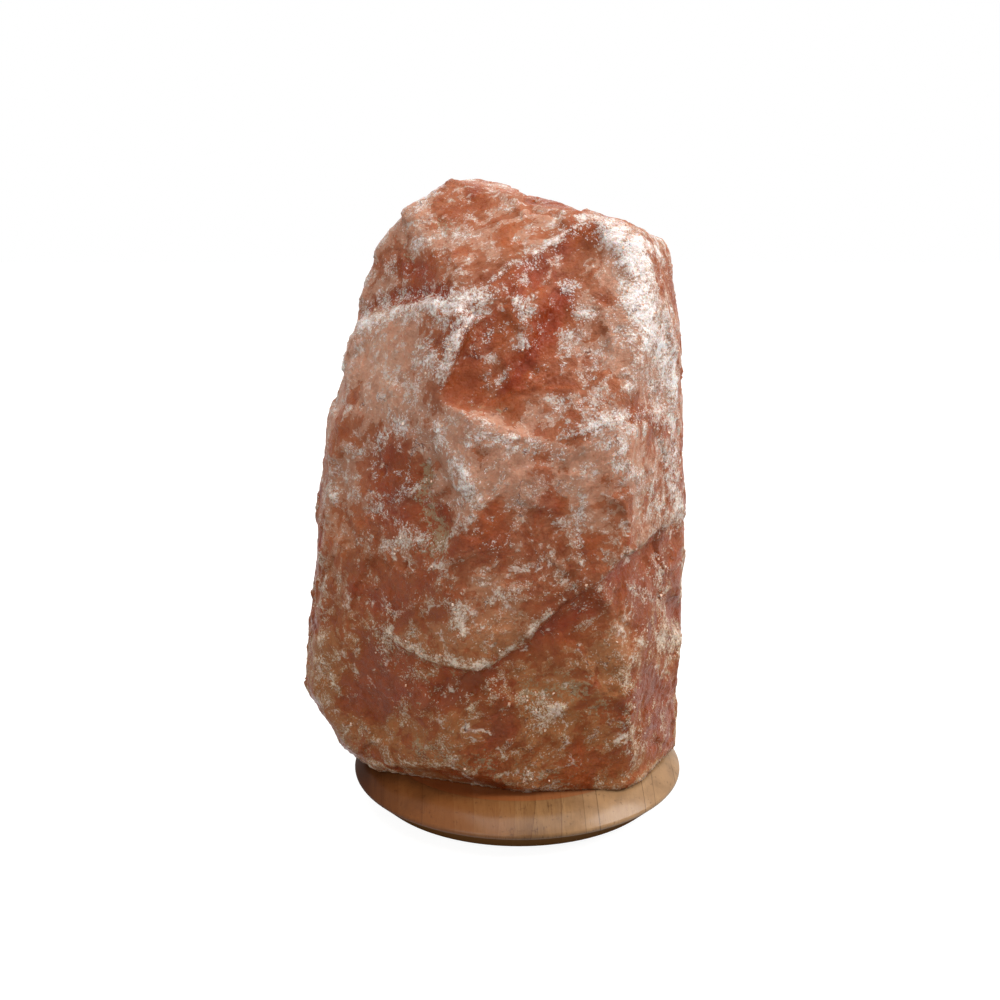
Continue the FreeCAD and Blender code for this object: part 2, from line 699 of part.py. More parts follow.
def cord_nipple(m):
    """Threaded tube that the cord would pass through, with a cross hole for the grip screw."""
    tube = turned_piece("nipple_tube", (
        (m.nipple_bore, heights.nipple),
        (m.nipple_radius, heights.nipple),
        (m.nipple_radius, heights.nipple_top),
        (m.nipple_bore, heights.nipple_top),
    ))
    hole = doc.addObject("Part::Cylinder", "grip_screw_hole")
    bind(hole, Radius=m.grip_screw_radius + m.fit, Height=m.nipple_radius * 2,
         Base_z=heights.nipple + m.grip_screw_rise)
    hole.setExpression("Placement.Rotation", "rotation(vector(1; 0; 0); 90)")
    return cut("cord_nipple", tube, hole)


def lock_nut(m, label, bottom):
    corner = m.nut_flats / math.sqrt(3)
    step = FULL_TURN / HEXAGON
    corners = [(corner * cosine(step * number), corner * sine(step * number))
               for number in range(HEXAGON)]
    corners = [tuple(0 if abs(value.number) < 1e-9 else value for value in pair)
               for pair in corners]
    return flat_piece(label, corners, bottom, m.nut_height, m.nipple_radius + m.fit)


def cord_grip_screw(m):
    """Small screw through the wall of the threaded tube, its head to the front."""
    body = make_body("cord_grip_screw")
    height = heights.nipple + m.grip_screw_rise
    head_sketch = new_sketch(body, "grip_head_section", "XZ_Plane", m.nipple_radius + m.fit)
    draw_circle(head_sketch, 0, height, m.grip_screw_head)
    head = body.newObject("PartDesign::Pad", "grip_head")
    head.Profile = head_sketch
    bind(head, Length=m.grip_screw_head_length)
    shank_sketch = new_sketch(body, "grip_shank_section", "XZ_Plane", m.nipple_bore)
    draw_circle(shank_sketch, 0, height, m.grip_screw_radius)
    shank = body.newObject("PartDesign::Pad", "grip_shank")
    shank.Profile = shank_sketch
    bind(shank, Length=m.nipple_radius + m.fit + m.grip_screw_head_length - m.nipple_bore)
    return body


# ---- lamp holder -----------------------------------------------------------------------------

def holder_cap(m):
    """Lower half of the holder: a cup with a collar on top."""
    bore = m.spigot_radius - m.spigot_wall
    opening = m.nipple_radius + m.fit
    return turned_piece("holder_cap", (
        (opening, heights.cap),
        (m.cap_foot_radius, heights.cap),
        (m.cap_radius, heights.cap + m.cap_bevel),
        (m.cap_radius, heights.joint),
        (m.spigot_radius, heights.joint),
        (m.spigot_radius, heights.insert),
        (bore, heights.insert),
        (bore, heights.cap + m.cap_floor),
        (opening, heights.cap + m.cap_floor),
    ))


def holder_skirt(m):
    """Upper half of the holder: a sleeve whose inner shoulder holds the shell's flange down."""
    bore = m.spigot_radius + m.fit
    return turned_piece("holder_skirt", (
        (bore, heights.joint),
        (m.cap_radius, heights.joint),
        (m.cap_radius, heights.joint + m.skirt_straight),
        (m.skirt_top_radius, heights.skirt_top),
        (m.skirt_mouth, heights.skirt_top),
        (m.skirt_mouth, heights.flange_top),
        (bore, heights.flange_top),
    ))


def terminal_corners(m, side, gap):
    """Outline, seen from above, of a terminal on one side, larger all round by the gap."""
    centre = side * m.terminal_spacing / 2
    half_length = m.terminal_length / 2 + gap
    half_width = m.terminal_width / 2 + gap
    return ((centre - half_length, -half_width), (centre + half_length, -half_width),
            (centre + half_length, half_width), (centre - half_length, half_width))


def holder_insert(m):
    """Ceramic body with pockets for the terminals and holes for the two conductors."""
    body = turned_piece("holder_insert", (
        (0, heights.insert),
        (m.insert_radius, heights.insert),
        (m.insert_radius, heights.flange),
        (m.insert_rim_bore, heights.flange),
        (m.insert_rim_bore, heights.contact_seat),
        (0, heights.contact_seat),
    ))
    for name, side in (("left", -1), ("right", 1)):
        sketch = new_sketch(body, f"{name}_pocket_outline", "XY_Plane", heights.insert)
        draw_outline(sketch, terminal_corners(m, side, m.fit))
        cut_up(body, sketch, f"{name}_pocket", m.pocket_depth)
    round_hole_up(body, "rivet_hole", rivet_place(m), 0, m.rivet_radius + m.fit,
                  m.insert_height, heights.insert)
    round_hole_up(body, "side_pin_hole", m.side_pin_place, 0, m.side_pin_radius + m.fit,
                  m.insert_height + m.insert_rim_height, heights.insert)
    return body


def rivet_place(m):
    return -(m.tongue_tail + m.tongue_heel) / 2


def terminal_block(m, label, side):
    """Brass block in its pocket, with a threaded hole from below."""
    body = flat_piece(label, terminal_corners(m, side, 0),
                      heights.terminal_top - m.terminal_height, m.terminal_height)
    round_hole_up(body, f"{label}_thread", side * m.terminal_spacing / 2, 0,
                  m.terminal_screw_radius + m.fit, m.terminal_screw_length + m.fit,
                  heights.terminal_top - m.terminal_height)
    return body


def terminal_screws(m):
    solids = []
    seat = heights.terminal_top - m.terminal_height
    for name, side in (("left", -1), ("right", 1)):
        place = side * m.terminal_spacing / 2
        head = rod(f"{name}_terminal_head", m.terminal_screw_head,
                   seat - m.terminal_screw_head_height, m.terminal_screw_head_height, place)
        shank = rod(f"{name}_terminal_shank", m.terminal_screw_radius, seat,
                    m.terminal_screw_length, place)
        screw = doc.addObject("Part::Fuse", f"{name}_terminal_screw")
        screw.Base = head
        screw.Tool = shank
        solids.append(screw)
    return group("terminal_screws", solids)


def centre_contact(m):
    """Bent springy strip: a riveted foot, a slope, and a pad under the bulb's contact."""
    body = make_body("centre_contact")
    sketch = new_sketch(body, "tongue_outline", "XZ_Plane")
    low, high = heights.contact_seat, heights.pip
    draw_outline(sketch, (
        (-m.tongue_tail, low),
        (-m.tongue_heel, low),
        (-m.tongue_knee, high - m.tongue_strip),
        (m.tongue_tip, high - m.tongue_strip),
        (m.tongue_tip, high),
        (-m.tongue_knee - m.tongue_strip, high),
        (-m.tongue_heel - m.tongue_strip, low + m.tongue_strip),
        (-m.tongue_tail, low + m.tongue_strip),
    ))
    pad = body.newObject("PartDesign::Pad", "tongue_strip")
    pad.Profile = sketch
    pad.Midplane = True
    bind(pad, Length=m.tongue_width)
    hole_sketch = new_sketch(body, "tongue_hole_outline", "XY_Plane", low)
    draw_circle(hole_sketch, rivet_place(m), 0, m.rivet_radius + m.fit)
    cut_up(body, hole_sketch, "tongue_hole", m.tongue_strip)
    return body


def contact_rivet(m):
    """Rivet from the foot of the centre contact down to the left terminal."""
    seat = heights.contact_seat + m.tongue_strip
    shank = rod("rivet_shank", m.rivet_radius, heights.terminal_top,
                seat - heights.terminal_top, rivet_place(m))
    head = rod("rivet_head_disc", m.rivet_head, seat, m.rivet_head_height, rivet_place(m))
    rivet = doc.addObject("Part::Fuse", "contact_rivet")
    rivet.Label = "contact_rivet"
    rivet.Base = head
    rivet.Tool = shank
    return rivet


def side_contact_pin(m):
    pin = rod("side_contact_pin", m.side_pin_radius, heights.terminal_top,
              heights.flange_top - heights.terminal_top, m.side_pin_place)
    pin.Label = "side_contact_pin"
    return pin


def knuckle_thread(m, radius, bottom, top):
    """Round rod whose axis winds round Z once a pitch, which gives a knuckle thread."""
    turns = (top - bottom) / m.thread_pitch.number
    count = math.ceil(turns * THREAD_STEPS)
    sections = []
    for number in range(count + 1):
        height = bottom + (top - bottom) * number / count
        angle = math.tau * height / m.thread_pitch.number
        centre = FreeCAD.Vector(math.cos(angle), math.sin(angle), 0) * m.thread_wave.number
        centre.z = height
        sections.append(Part.Wire([Part.makeCircle(radius, centre)]))
    solid, ruled = True, True
    return Part.makeLoft(sections, solid, ruled)


def ring(outer, inner, bottom, height, across=0):
    """Plain ring, or a disc where the inner radius is nothing."""
    base = FreeCAD.Vector(across, 0, bottom)
    disc = Part.makeCylinder(outer, height, base)
    return disc.cut(Part.makeCylinder(inner, height, base)) if inner else disc


def threaded_shell(m):
    """Brass screw shell of the holder, with a flange at its foot."""
    flange, low = heights.flange.number, heights.flange_top.number
    top = low + m.shell_height.number
    inner = m.bulb_thread_radius.number + m.thread_gap.number
    wall = knuckle_thread(m, inner + m.shell_wall.number, low, top)
    wall = wall.cut(knuckle_thread(m, inner, low, top))
    foot = ring(m.shell_flange_radius.number, m.shell_flange_bore.number, flange, low - flange)
    pin_hole = ring(m.side_pin_radius.number + m.fit.number, 0, flange, low - flange,
                    m.side_pin_place.number)
    return coded("threaded_shell", wall.fuse(foot.cut(pin_hole)))


# ---- bulb ------------------------------------------------------------------------------------

def bulb_contact(m):
    return turned_piece("bulb_contact", (
        (0, heights.pip),
        (m.pip_radius - m.pip_height / 2, heights.pip),
        (m.pip_radius, heights.pip + m.pip_height / 2),
        (m.pip_radius, heights.insulator),
        (0, heights.insulator),
    ))


def bulb_insulator(m):
    """Ring of dark glass between the contact and the cap, with a plug up inside the cap."""
    return turned_piece("bulb_insulator", (
        (0, heights.insulator),
        (m.pip_radius, heights.insulator),
        (m.insulator_radius, heights.bulb_cap),
        (m.insulator_plug_radius, heights.bulb_cap),
        (m.insulator_plug_radius, heights.bulb_cap + m.insulator_plug_height),
        (0, heights.bulb_cap + m.insulator_plug_height),
    ))


def bulb_cap(m):
    """Threaded metal shell with a hole in its floor and a flared upper edge."""
    low = heights.bulb_cap.number
    top = low + m.bulb_thread_length.number
    radius, wall, floor = (m.bulb_thread_radius.number, m.bulb_cap_wall.number,
                           m.bulb_cap_floor.number)
    thread_end = top + floor / 2
    shell = knuckle_thread(m, radius, low, thread_end)
    shell = shell.cut(knuckle_thread(m, radius - wall, low + floor, thread_end))
    shell = shell.cut(ring(m.insulator_plug_radius.number + m.fit.number, 0, low, floor))
    crest = radius + m.thread_wave.number + m.fit.number / 2
    inner = m.bulb_neck.number + m.fit.number
    lip = top + m.flare_height.number
    edge = m.flare_radius.number
    profile = ((inner, top), (crest, top), (edge, lip), (edge - wall, lip),
               (crest - wall, top + floor), (inner, top + floor), (inner, top))
    outline = Part.makePolygon([FreeCAD.Vector(across, 0, up) for across, up in profile])
    flare = Part.Face(outline).revolve(FreeCAD.Vector(0, 0, 0), FreeCAD.Vector(0, 0, 1), FULL_TURN)
    return coded("bulb_cap", shell.fuse(flare))


def bulb_glass(m):
    """Globe with a cone below it, tangent to the globe, and a straight neck in the cap."""
    centre = heights.bulb_top - m.bulb_radius
    neck_end = heights.bulb_cap + m.bulb_neck_sink

    def wall_line(globe, neck):
        touch_radius = globe * cosine(m.bulb_cone)
        touch_height = centre - globe * sine(m.bulb_cone)
        cone_length = (touch_radius - neck) / sine(m.bulb_cone)
        return touch_radius, touch_height, touch_height - cone_length * cosine(m.bulb_cone)

    outer, outer_height, outer_neck = wall_line(m.bulb_radius, m.bulb_neck)
    inner_globe, inner_throat = m.bulb_radius - m.glass_wall, m.bulb_neck - m.glass_wall
    inner, inner_height, inner_neck = wall_line(inner_globe, inner_throat)
    return turned_piece("bulb_glass", (
        (inner_throat, neck_end),
        (m.bulb_neck, neck_end),
        (m.bulb_neck, outer_neck),
        (outer, outer_height, m.bulb_radius),
        (0, heights.bulb_top),
        (0, heights.bulb_top - m.glass_wall, -inner_globe),
        (inner, inner_height),
        (inner_throat, inner_neck),
    ))


def bulb_stem(m):
    """Glass mount in the neck, with two holes for the lead wires."""
    seat = heights.bulb_cap + m.bulb_neck_sink
    body = turned_piece("bulb_stem", (
        (0, seat - m.stem_flange),
        (m.stem_flange_radius, seat - m.stem_flange),
        (m.stem_flange_radius, seat),
        (m.stem_root, seat),
        (m.stem_waist, seat + m.stem_slope),
        (m.stem_waist, seat + m.stem_height),
        (0, seat + m.stem_height),
    ))
    for name, side in (("left", -1), ("right", 1)):
        round_hole_up(body, f"{name}_wire_hole", side * m.wire_gap, 0, m.wire_radius + m.fit,
                      m.stem_flange + m.stem_height * 2, seat - m.stem_flange)
    return body


def bulb_lead_wires(m):
    """Two wires: up through the stem, then spread to the ends of the filament."""
    low = (heights.bulb_cap + m.insulator_plug_height).number
    bend = (heights.bulb_cap + m.bulb_neck_sink + m.stem_height + m.wire_bend_rise).number
    top = heights.filament.number
    radius = m.wire_radius.number
    wires = []
    for side in (-1, 1):
        start = FreeCAD.Vector(side * m.wire_gap.number, 0, low)
        knee = FreeCAD.Vector(start.x, 0, bend)
        end = FreeCAD.Vector(side * m.filament_radius.number, 0, top)
        slope = end - knee
        wire = Part.makeCylinder(radius, bend - low, start)
        wire = wire.fuse(Part.makeSphere(radius, knee))
        wires.append(wire.fuse(Part.makeCylinder(radius, slope.Length, knee, slope)))
    return coded("bulb_lead_wires", Part.makeCompound(wires))


def bulb_filament(m):
    """Half ring that lies level on the ends of the lead wires."""
    bow = doc.addObject("Part::Torus", "bulb_filament")
    bow.Label = "bulb_filament"
    bow.Angle3 = FULL_TURN / 2
    bind(bow, Radius1=m.filament_radius, Radius2=m.filament_wire,
         Base_z=heights.filament + m.wire_radius + m.filament_gap + m.filament_wire)
    return bow


# ---- levels, from the floor up ---------------------------------------------------------------

def stack_heights(m):
    """Every level that more than one piece shares."""
    level = SimpleNamespace()
    level.underside = m.foot_height
    level.seat = level.underside + m.base_thickness
    level.foot_screw_top = m.foot_sink_depth + m.foot_screw_length
    level.washer = level.underside + m.sink_depth - m.washer_thickness
    level.crystal_centre = level.seat + m.crystal_centre_height
    level.clip = level.underside + m.clip_rise
    level.nipple = level.clip - m.nipple_drop
    level.cap = level.clip + m.clip_strip
    level.upper_nut = level.cap + m.cap_floor
    level.nipple_top = level.upper_nut + m.nut_height + m.nipple_rise
    level.joint = level.cap + m.cap_height
    level.insert = level.joint + m.spigot_height
    level.terminal_top = level.insert + m.pocket_depth
    level.contact_seat = level.insert + m.insert_height
    level.flange = level.contact_seat + m.insert_rim_height
    level.flange_top = level.flange + m.shell_wall
    level.skirt_top = level.flange_top + m.shell_height + m.skirt_rise
    level.pip = level.contact_seat + m.tongue_rise
    level.insulator = level.pip + m.pip_height
    level.bulb_cap = level.insulator + m.insulator_height
    level.bulb_top = level.pip + m.bulb_length
    level.filament = level.bulb_top - m.bulb_radius
    return level


doc = FreeCAD.newDocument("salt_crystal_lamp")
sizes = make_sheet()
heights = stack_heights(sizes)

pieces = [
    salt_crystal(sizes),
    wood_base(sizes),
    base_screws(sizes),
    screw_washers(sizes),
    wall_plugs(sizes),
    foot_screws(sizes),
]
pieces += [rubber_foot(sizes, number) for number in range(sizes.foot_count.number)]
pieces += [
    spring_clip(sizes),
    lock_nut(sizes, "clip_lock_nut", heights.clip - sizes.nut_height),
    lock_nut(sizes, "cap_lock_nut", heights.upper_nut),
    cord_nipple(sizes),
    cord_grip_screw(sizes),
    holder_cap(sizes),
    holder_skirt(sizes),
    holder_insert(sizes),
    terminal_block(sizes, "left_terminal", -1),
    terminal_block(sizes, "right_terminal", 1),
    terminal_screws(sizes),
    centre_contact(sizes),
    contact_rivet(sizes),
    side_contact_pin(sizes),
    threaded_shell(sizes),
    bulb_contact(sizes),
    bulb_insulator(sizes),
    bulb_cap(sizes),
    bulb_glass(sizes),
    bulb_stem(sizes),
    bulb_lead_wires(sizes),
    bulb_filament(sizes),
]
doc.recompute()

for thing in doc.Objects:
    if "Invalid" in thing.State or "Error" in thing.State:
        raise RuntimeError(f"{thing.Label} failed to recompute")
for piece in pieces:
    if piece.Shape.isNull() or not piece.Shape.isValid():
        raise RuntimeError(f"{piece.Label} has no valid shape")

os.makedirs("parts", exist_ok=True)
for piece in pieces:
    piece.Shape.exportStep(f"parts/{piece.Label}.step")
    limits = piece.Shape.BoundBox
    print(f"{piece.Label}: {len(piece.Shape.Solids)} solid(s), {piece.Shape.Volume:.1f} mm3, "
          f"Z {limits.ZMin:.2f} to {limits.ZMax:.2f}")
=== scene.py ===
import math

import bmesh
import bpy
import numpy as np
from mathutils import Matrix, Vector, noise


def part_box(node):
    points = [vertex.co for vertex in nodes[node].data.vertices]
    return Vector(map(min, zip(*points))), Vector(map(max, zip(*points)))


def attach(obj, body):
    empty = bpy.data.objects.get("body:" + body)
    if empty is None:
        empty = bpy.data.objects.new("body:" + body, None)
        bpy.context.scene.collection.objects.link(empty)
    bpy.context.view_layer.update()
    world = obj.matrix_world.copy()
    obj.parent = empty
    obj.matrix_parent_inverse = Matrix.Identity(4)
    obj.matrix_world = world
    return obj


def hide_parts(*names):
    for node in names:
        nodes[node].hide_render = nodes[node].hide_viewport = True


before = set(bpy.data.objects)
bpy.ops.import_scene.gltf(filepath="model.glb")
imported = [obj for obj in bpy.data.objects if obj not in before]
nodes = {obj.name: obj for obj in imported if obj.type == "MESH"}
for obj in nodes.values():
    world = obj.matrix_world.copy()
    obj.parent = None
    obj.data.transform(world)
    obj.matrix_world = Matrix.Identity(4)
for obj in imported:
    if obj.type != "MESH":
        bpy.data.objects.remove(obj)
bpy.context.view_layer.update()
print("frame loaded with", len(nodes), "CAD nodes")

# Metres. The crystal and its base face the camera from -Y, and the lamp stands on z = 0.
millimetre = 0.001
noise.seed_set(7)      # vector noise starts from the clock when no seed is set


def colour(red, green, blue):      # a colour as a paint chart gives it, 0 to 255
    linear = [(part / 255 / 12.92) if part <= 10 else ((part / 255 + 0.055) / 1.055) ** 2.4
              for part in (red, green, blue)]
    return (*linear, 1.0)


def feed(tree, socket, value):      # a socket takes another socket or a plain value
    if isinstance(value, bpy.types.NodeSocket):
        tree.links.new(value, socket)
    else:
        socket.default_value = value


def fill(tree, node, **sockets):      # an underscore stands for a space in a socket's name
    for name, value in sockets.items():
        wanted = name.replace("_", " ")
        feed(tree, next(item for item in node.inputs if wanted in (item.name, item.identifier)
                        or name == item.identifier), value)


def addNode(tree, kind, settings=None, **sockets):
    node = tree.nodes.new(kind)
    for name, value in (settings or {}).items():
        setattr(node, name, value)
    fill(tree, node, **sockets)
    return node


def maths(tree, operation, first, second=0.0, clamp=False):
    node = tree.nodes.new("ShaderNodeMath")
    node.operation = operation
    node.use_clamp = clamp
    for socket, value in zip(node.inputs, (first, second)):
        feed(tree, socket, value)
    return node.outputs[0]


def times(tree, first, second):
    return maths(tree, "MULTIPLY", first, second)


def vectorMaths(tree, operation, first, second=(0, 0, 0), scale=1.0, result="Vector"):
    node = addNode(tree, "ShaderNodeVectorMath", {"operation": operation}, Vector=first,
                   Vector_001=second, Scale=scale)
    return node.outputs[result]


def mixed(tree, *parts):      # weighted sum of (weight, value) parts
    total = None
    for weight, value in parts:
        part = times(tree, value, weight)
        total = part if total is None else maths(tree, "ADD", total, part)
    return total


def blend(tree, amount, first, second, mode="MIX"):      # two colours, the second on top
    node = tree.nodes.new("ShaderNodeMix")
    node.data_type = "RGBA"
    node.blend_type = mode
    fill(tree, node, Factor_Float=amount, A_Color=first, B_Color=second)
    return node.outputs[2]


def edge(tree, value, low, high, start=0.0, stop=1.0):      # soft step from start to stop
    node = addNode(tree, "ShaderNodeMapRange", {"interpolation_type": "SMOOTHSTEP"},
                   Value=value, From_Min=low, From_Max=high, To_Min=start, To_Max=stop)
    return node.outputs["Result"]


def pattern(tree, where, scale, detail=4.0, roughness=0.5, distortion=0.0):
    node = addNode(tree, "ShaderNodeTexNoise", Vector=where, Scale=scale, Detail=detail,
                   Roughness=roughness, Distortion=distortion)
    return node.outputs[0]


def strong(tree, value):      # noise stretched over the whole of 0 to 1
    return addNode(tree, "ShaderNodeMapRange", Value=value, From_Min=0.3, From_Max=0.7).outputs[0]


def cells(tree, where, scale, output="Distance"):
    node = addNode(tree, "ShaderNodeTexVoronoi", Vector=where, Scale=scale)
    return node.outputs[output]


def laid(tree, where, turn=(0, 0, 0), stretch=(1, 1, 1)):      # a pattern turned, then stretched
    node = addNode(tree, "ShaderNodeMapping", {"vector_type": "TEXTURE"}, Vector=where,
                   Rotation=[math.radians(angle) for angle in turn], Scale=stretch)
    return node.outputs[0]


def wander(tree, where, perMetre, reach):      # a pattern's lines bent this way and that
    drift = addNode(tree, "ShaderNodeTexNoise", Vector=where, Scale=perMetre, Detail=2.0)
    centred = vectorMaths(tree, "SUBTRACT", drift.outputs["Color"], (0.5, 0.5, 0.5))
    return vectorMaths(tree, "ADD", where, vectorMaths(tree, "SCALE", centred, scale=reach))


def painted(tree, name):      # a mask that was painted on the mesh
    node = tree.nodes.new("ShaderNodeAttribute")
    node.attribute_name = name
    return node.outputs["Fac"]


def newMaterial(name):
    material = bpy.data.materials.new(name)
    material.use_nodes = True
    tree = material.node_tree
    tree.nodes.clear()
    shader = tree.nodes.new("ShaderNodeBsdfPrincipled")
    output = tree.nodes.new("ShaderNodeOutputMaterial")
    tree.links.new(shader.outputs[0], output.inputs["Surface"])
    where = tree.nodes.new("ShaderNodeTexCoord").outputs["Object"]
    return material, tree, shader, where


def bump(tree, shader, height, strength, distance):
    node = addNode(tree, "ShaderNodeBump", Height=height, Strength=strength, Distance=distance)
    tree.links.new(node.outputs["Normal"], shader.inputs["Normal"])


def nodeGroup(kind, name, inputs, outputs):      # a node tree with named inputs
    tree = bpy.data.node_groups.new(name, kind + "NodeTree")
    for side, sockets in (("INPUT", inputs), ("OUTPUT", outputs)):
        for label, socket in sockets.items():
            tree.interface.new_socket(label, in_out=side, socket_type="NodeSocket" + socket)
    return tree, tree.nodes.new("NodeGroupInput").outputs, tree.nodes.new("NodeGroupOutput")


def looked(tree):      # 1 for what the camera, gloss and glass see, 0 for light that falls
    rays = tree.nodes.new("ShaderNodeLightPath").outputs
    both = maths(tree, "ADD", rays["Is Camera Ray"], rays["Is Glossy Ray"])
    return maths(tree, "ADD", both, rays["Is Transmission Ray"], clamp=True)


def addObject(name, data):
    thing = bpy.data.objects.new(name, data)
    bpy.context.scene.collection.objects.link(thing)
    return thing


def settle(piece):      # live modifiers become a plain mesh
    depsgraph = bpy.context.evaluated_depsgraph_get()
    mesh = bpy.data.meshes.new_from_object(piece.evaluated_get(depsgraph))
    piece.modifiers.clear()
    piece.data = mesh
    return piece


# The camera stands where the photograph was taken, 0.6 m away and 25 degrees above the rim.
photo = {
    "place": (-0.0074, -0.543785, 0.264571),
    "tiltDown": 14.18,
    "focalPixels": 1357.0,
    "framePixels": 1000,
    "sensor": 36.0,
}


def photoPixels(points):      # where points of the lamp fall in the photograph's frame
    tilt = math.radians(photo["tiltDown"])
    ahead = np.array([0, math.cos(tilt), -math.sin(tilt)])
    up = np.array([0, math.sin(tilt), math.cos(tilt)])
    offset = points - np.array(photo["place"])
    depth = offset @ ahead
    middle = photo["framePixels"] / 2
    return np.stack([middle + photo["focalPixels"] * offset[:, 0] / depth,
                     middle - photo["focalPixels"] * (offset @ up) / depth], 1)


def softStep(low, high, value):
    ratio = np.clip((value - low) / (high - low), 0, 1)
    return ratio * ratio * (3 - 2 * ratio)


def nearLine(pixels, line):      # distance to a line in pixels, and which side of it: + is left
    best = np.full(len(pixels), 1e9)
    side = np.zeros(len(pixels))
    stops = [np.array(stop, float) for stop in (line if len(line) > 1 else line * 2)]
    for start, stop in zip(stops[:-1], stops[1:]):
        run = stop - start
        share = np.clip(((pixels - start) @ run) / max(run @ run, 1e-9), 0, 1)
        away = pixels - (start + share[:, None] * run)
        distance = np.hypot(away[:, 0], away[:, 1])
        nearer = distance < best
        turn = run[0] * away[:, 1] - run[1] * away[:, 0]
        best = np.where(nearer, distance, best)
        side = np.where(nearer, -np.sign(turn), side)
    return best, side


crystal = {
    "grainSize": 1.38 * millimetre,     # size of the mesh's faces
    "edgeRounding": 7,      # smoothing passes over the cleaved edges
    "ridgeReach": 14,      # smoothing passes that tell ridges from hollows
    "flakes": ((30, 0.05), (14, 0.06), (7, 0.07), (3.4, 0.07)),      # size in mm, tilt
    "flakeBend": (16, 3.5),      # size and reach in mm of the bends in flakes
    "pits": (3.1, 0.25),      # size and depth in mm
    "swells": (11.0, 0.5),
    "sink": 0.7,      # mm below the cleaved planes, so that it keeps its size
    "markWander": ((26, 6.0), (9, 3.0)),      # size in mm, reach in pixels
    "markSpread": 1.25,      # marks are this much wider than their lines below
    "ledgeStep": 2,      # pixels from a ledge's foot to its top
    "cloudSize": 22 * millimetre,      # wild masks where the photograph shows nothing
    "spotSize": 9 * millimetre,
    "cavityRadius": 26.5 * millimetre,
    "cavityTop": 131 * millimetre,
    "seatFade": 5 * millimetre,      # undisturbed strip over the wooden base
}

# Lines on the face that the photograph shows, in its pixels, and marks along them.
capCrease = [(357, 317), (373, 306), (391, 298), (406, 293), (429, 287), (442, 287)]
noseValley = [(420, 473), (420, 500), (427, 510), (434, 524), (445, 535), (434, 551)]
hollowEdge = [(561, 290), (552, 309), (540, 339), (522, 366), (508, 383)]
noseRidge = [(434, 429), (442, 448), (461, 477), (467, 490)]
frostMarks = (      # half width, strength, line
    # the first line is a painted highlight along the top's crest, with frost beside it
    (4, 0.6, [(482, 290), (506, 271), (530, 255), (552, 240), (568, 232), (589, 215),
               (608, 215)]),
    (10, 0.6, [(515, 272), (560, 245), (600, 228)]), (9, 0.8, [(520, 300), (527, 315)]),
    (15, 0.9, [(355, 322), (390, 308), (430, 300), (476, 296)]),
    (9, 0.8, [(477, 302), (464, 324), (450, 340), (441, 365), (432, 375)]),
    (12, 0.8, [(425, 353), (411, 383)]),
    (16, 1.5, [(606, 222), (627, 240), (641, 258), (646, 273), (642, 295), (649, 317),
               (660, 339), (671, 361), (678, 387)]),
    (24, 1.0, [(630, 235), (655, 300), (668, 370)]),
    (9, 1.1, [(640, 225), (660, 242), (672, 262)]), (7, 1.2, [(666, 300), (672, 320)]),
    (9, 0.95, [(669, 411), (676, 460), (682, 516)]),
    (8, 0.9, [(571, 284), (575, 306), (588, 317)]),
    (6, 0.9, [(583, 331), (571, 343), (569, 358), (566, 372)]),
    (14, 0.85, [(626, 330), (640, 352), (655, 385)]),
    (12, 0.6, [(434, 429), (442, 448), (461, 477), (467, 490), (462, 498)]),
    (10, 0.8, [(578, 436), (606, 425), (638, 418), (662, 411), (676, 428)]),
    (9, 0.85, [(564, 404)]), (8, 0.8, [(620, 471), (655, 485), (662, 509)]),
    (5, 0.8, [(581, 502), (578, 530), (582, 558)]), (10, 0.95, [(638, 589), (639, 597)]),
    (8, 0.85, [(660, 557), (660, 605)]), (16, 1.7, [(672, 635)]),
    (5, 0.9, [(396, 642), (420, 657), (447, 662), (488, 667)]),
    (5, 0.7, [(488, 667), (522, 642), (550, 616)]), (8, 1.2, [(455, 612), (462, 630)]),
    (8, 0.7, [(320, 600), (320, 641)]), (5, 0.9, [(320, 657), (331, 672), (337, 692)]),
    (9, 0.95, [(380, 653), (388, 634)]), (8, 0.9, [(335, 656)]), (8, 0.9, [(406, 677)]),
    (10, 0.95, [(454, 614), (462, 629)]), (8, 0.6, [(347, 727), (367, 735), (386, 744)]),
    (7, 0.7, [(402, 714), (407, 728)]), (9, 0.8, [(465, 704)]),
    (8, 0.7, [(441, 737), (445, 753)]), (5, 0.6, [(407, 763), (474, 774)]),
    (7, 0.4, [(644, 615), (636, 657), (629, 677), (627, 716), (639, 744), (637, 763)]),
    (34, 0.75, [(645, 290), (665, 390)]), (9, 0.8, [(514, 697), (559, 709), (540, 730)]),
    (8, 0.9, [(358, 452)]), (8, 0.85, [(380, 441)]), (12, 1.0, [(402, 422)]),
    (8, 0.9, [(403, 486)]), (9, 0.8, [(383, 508)]), (8, 0.9, [(352, 494)]),
    (8, 0.85, [(337, 476)]), (9, 0.95, [(358, 535)]), (9, 0.8, [(372, 548), (420, 536)]),
    (7, 0.8, [(394, 551)]), (7, 0.75, [(466, 218)]), (7, 0.7, [(401, 276)]),
    (8, 0.8, [(522, 308)]), (9, 0.8, [(522, 347)]), (9, 0.9, [(665, 309)]),
    (9, 0.7, [(470, 445), (530, 440), (560, 455)]), (8, 0.7, [(495, 600), (530, 585)]),
    (8, 0.75, [(325, 470), (330, 500)]), (7, 0.8, [(312, 560), (316, 590)]),
)
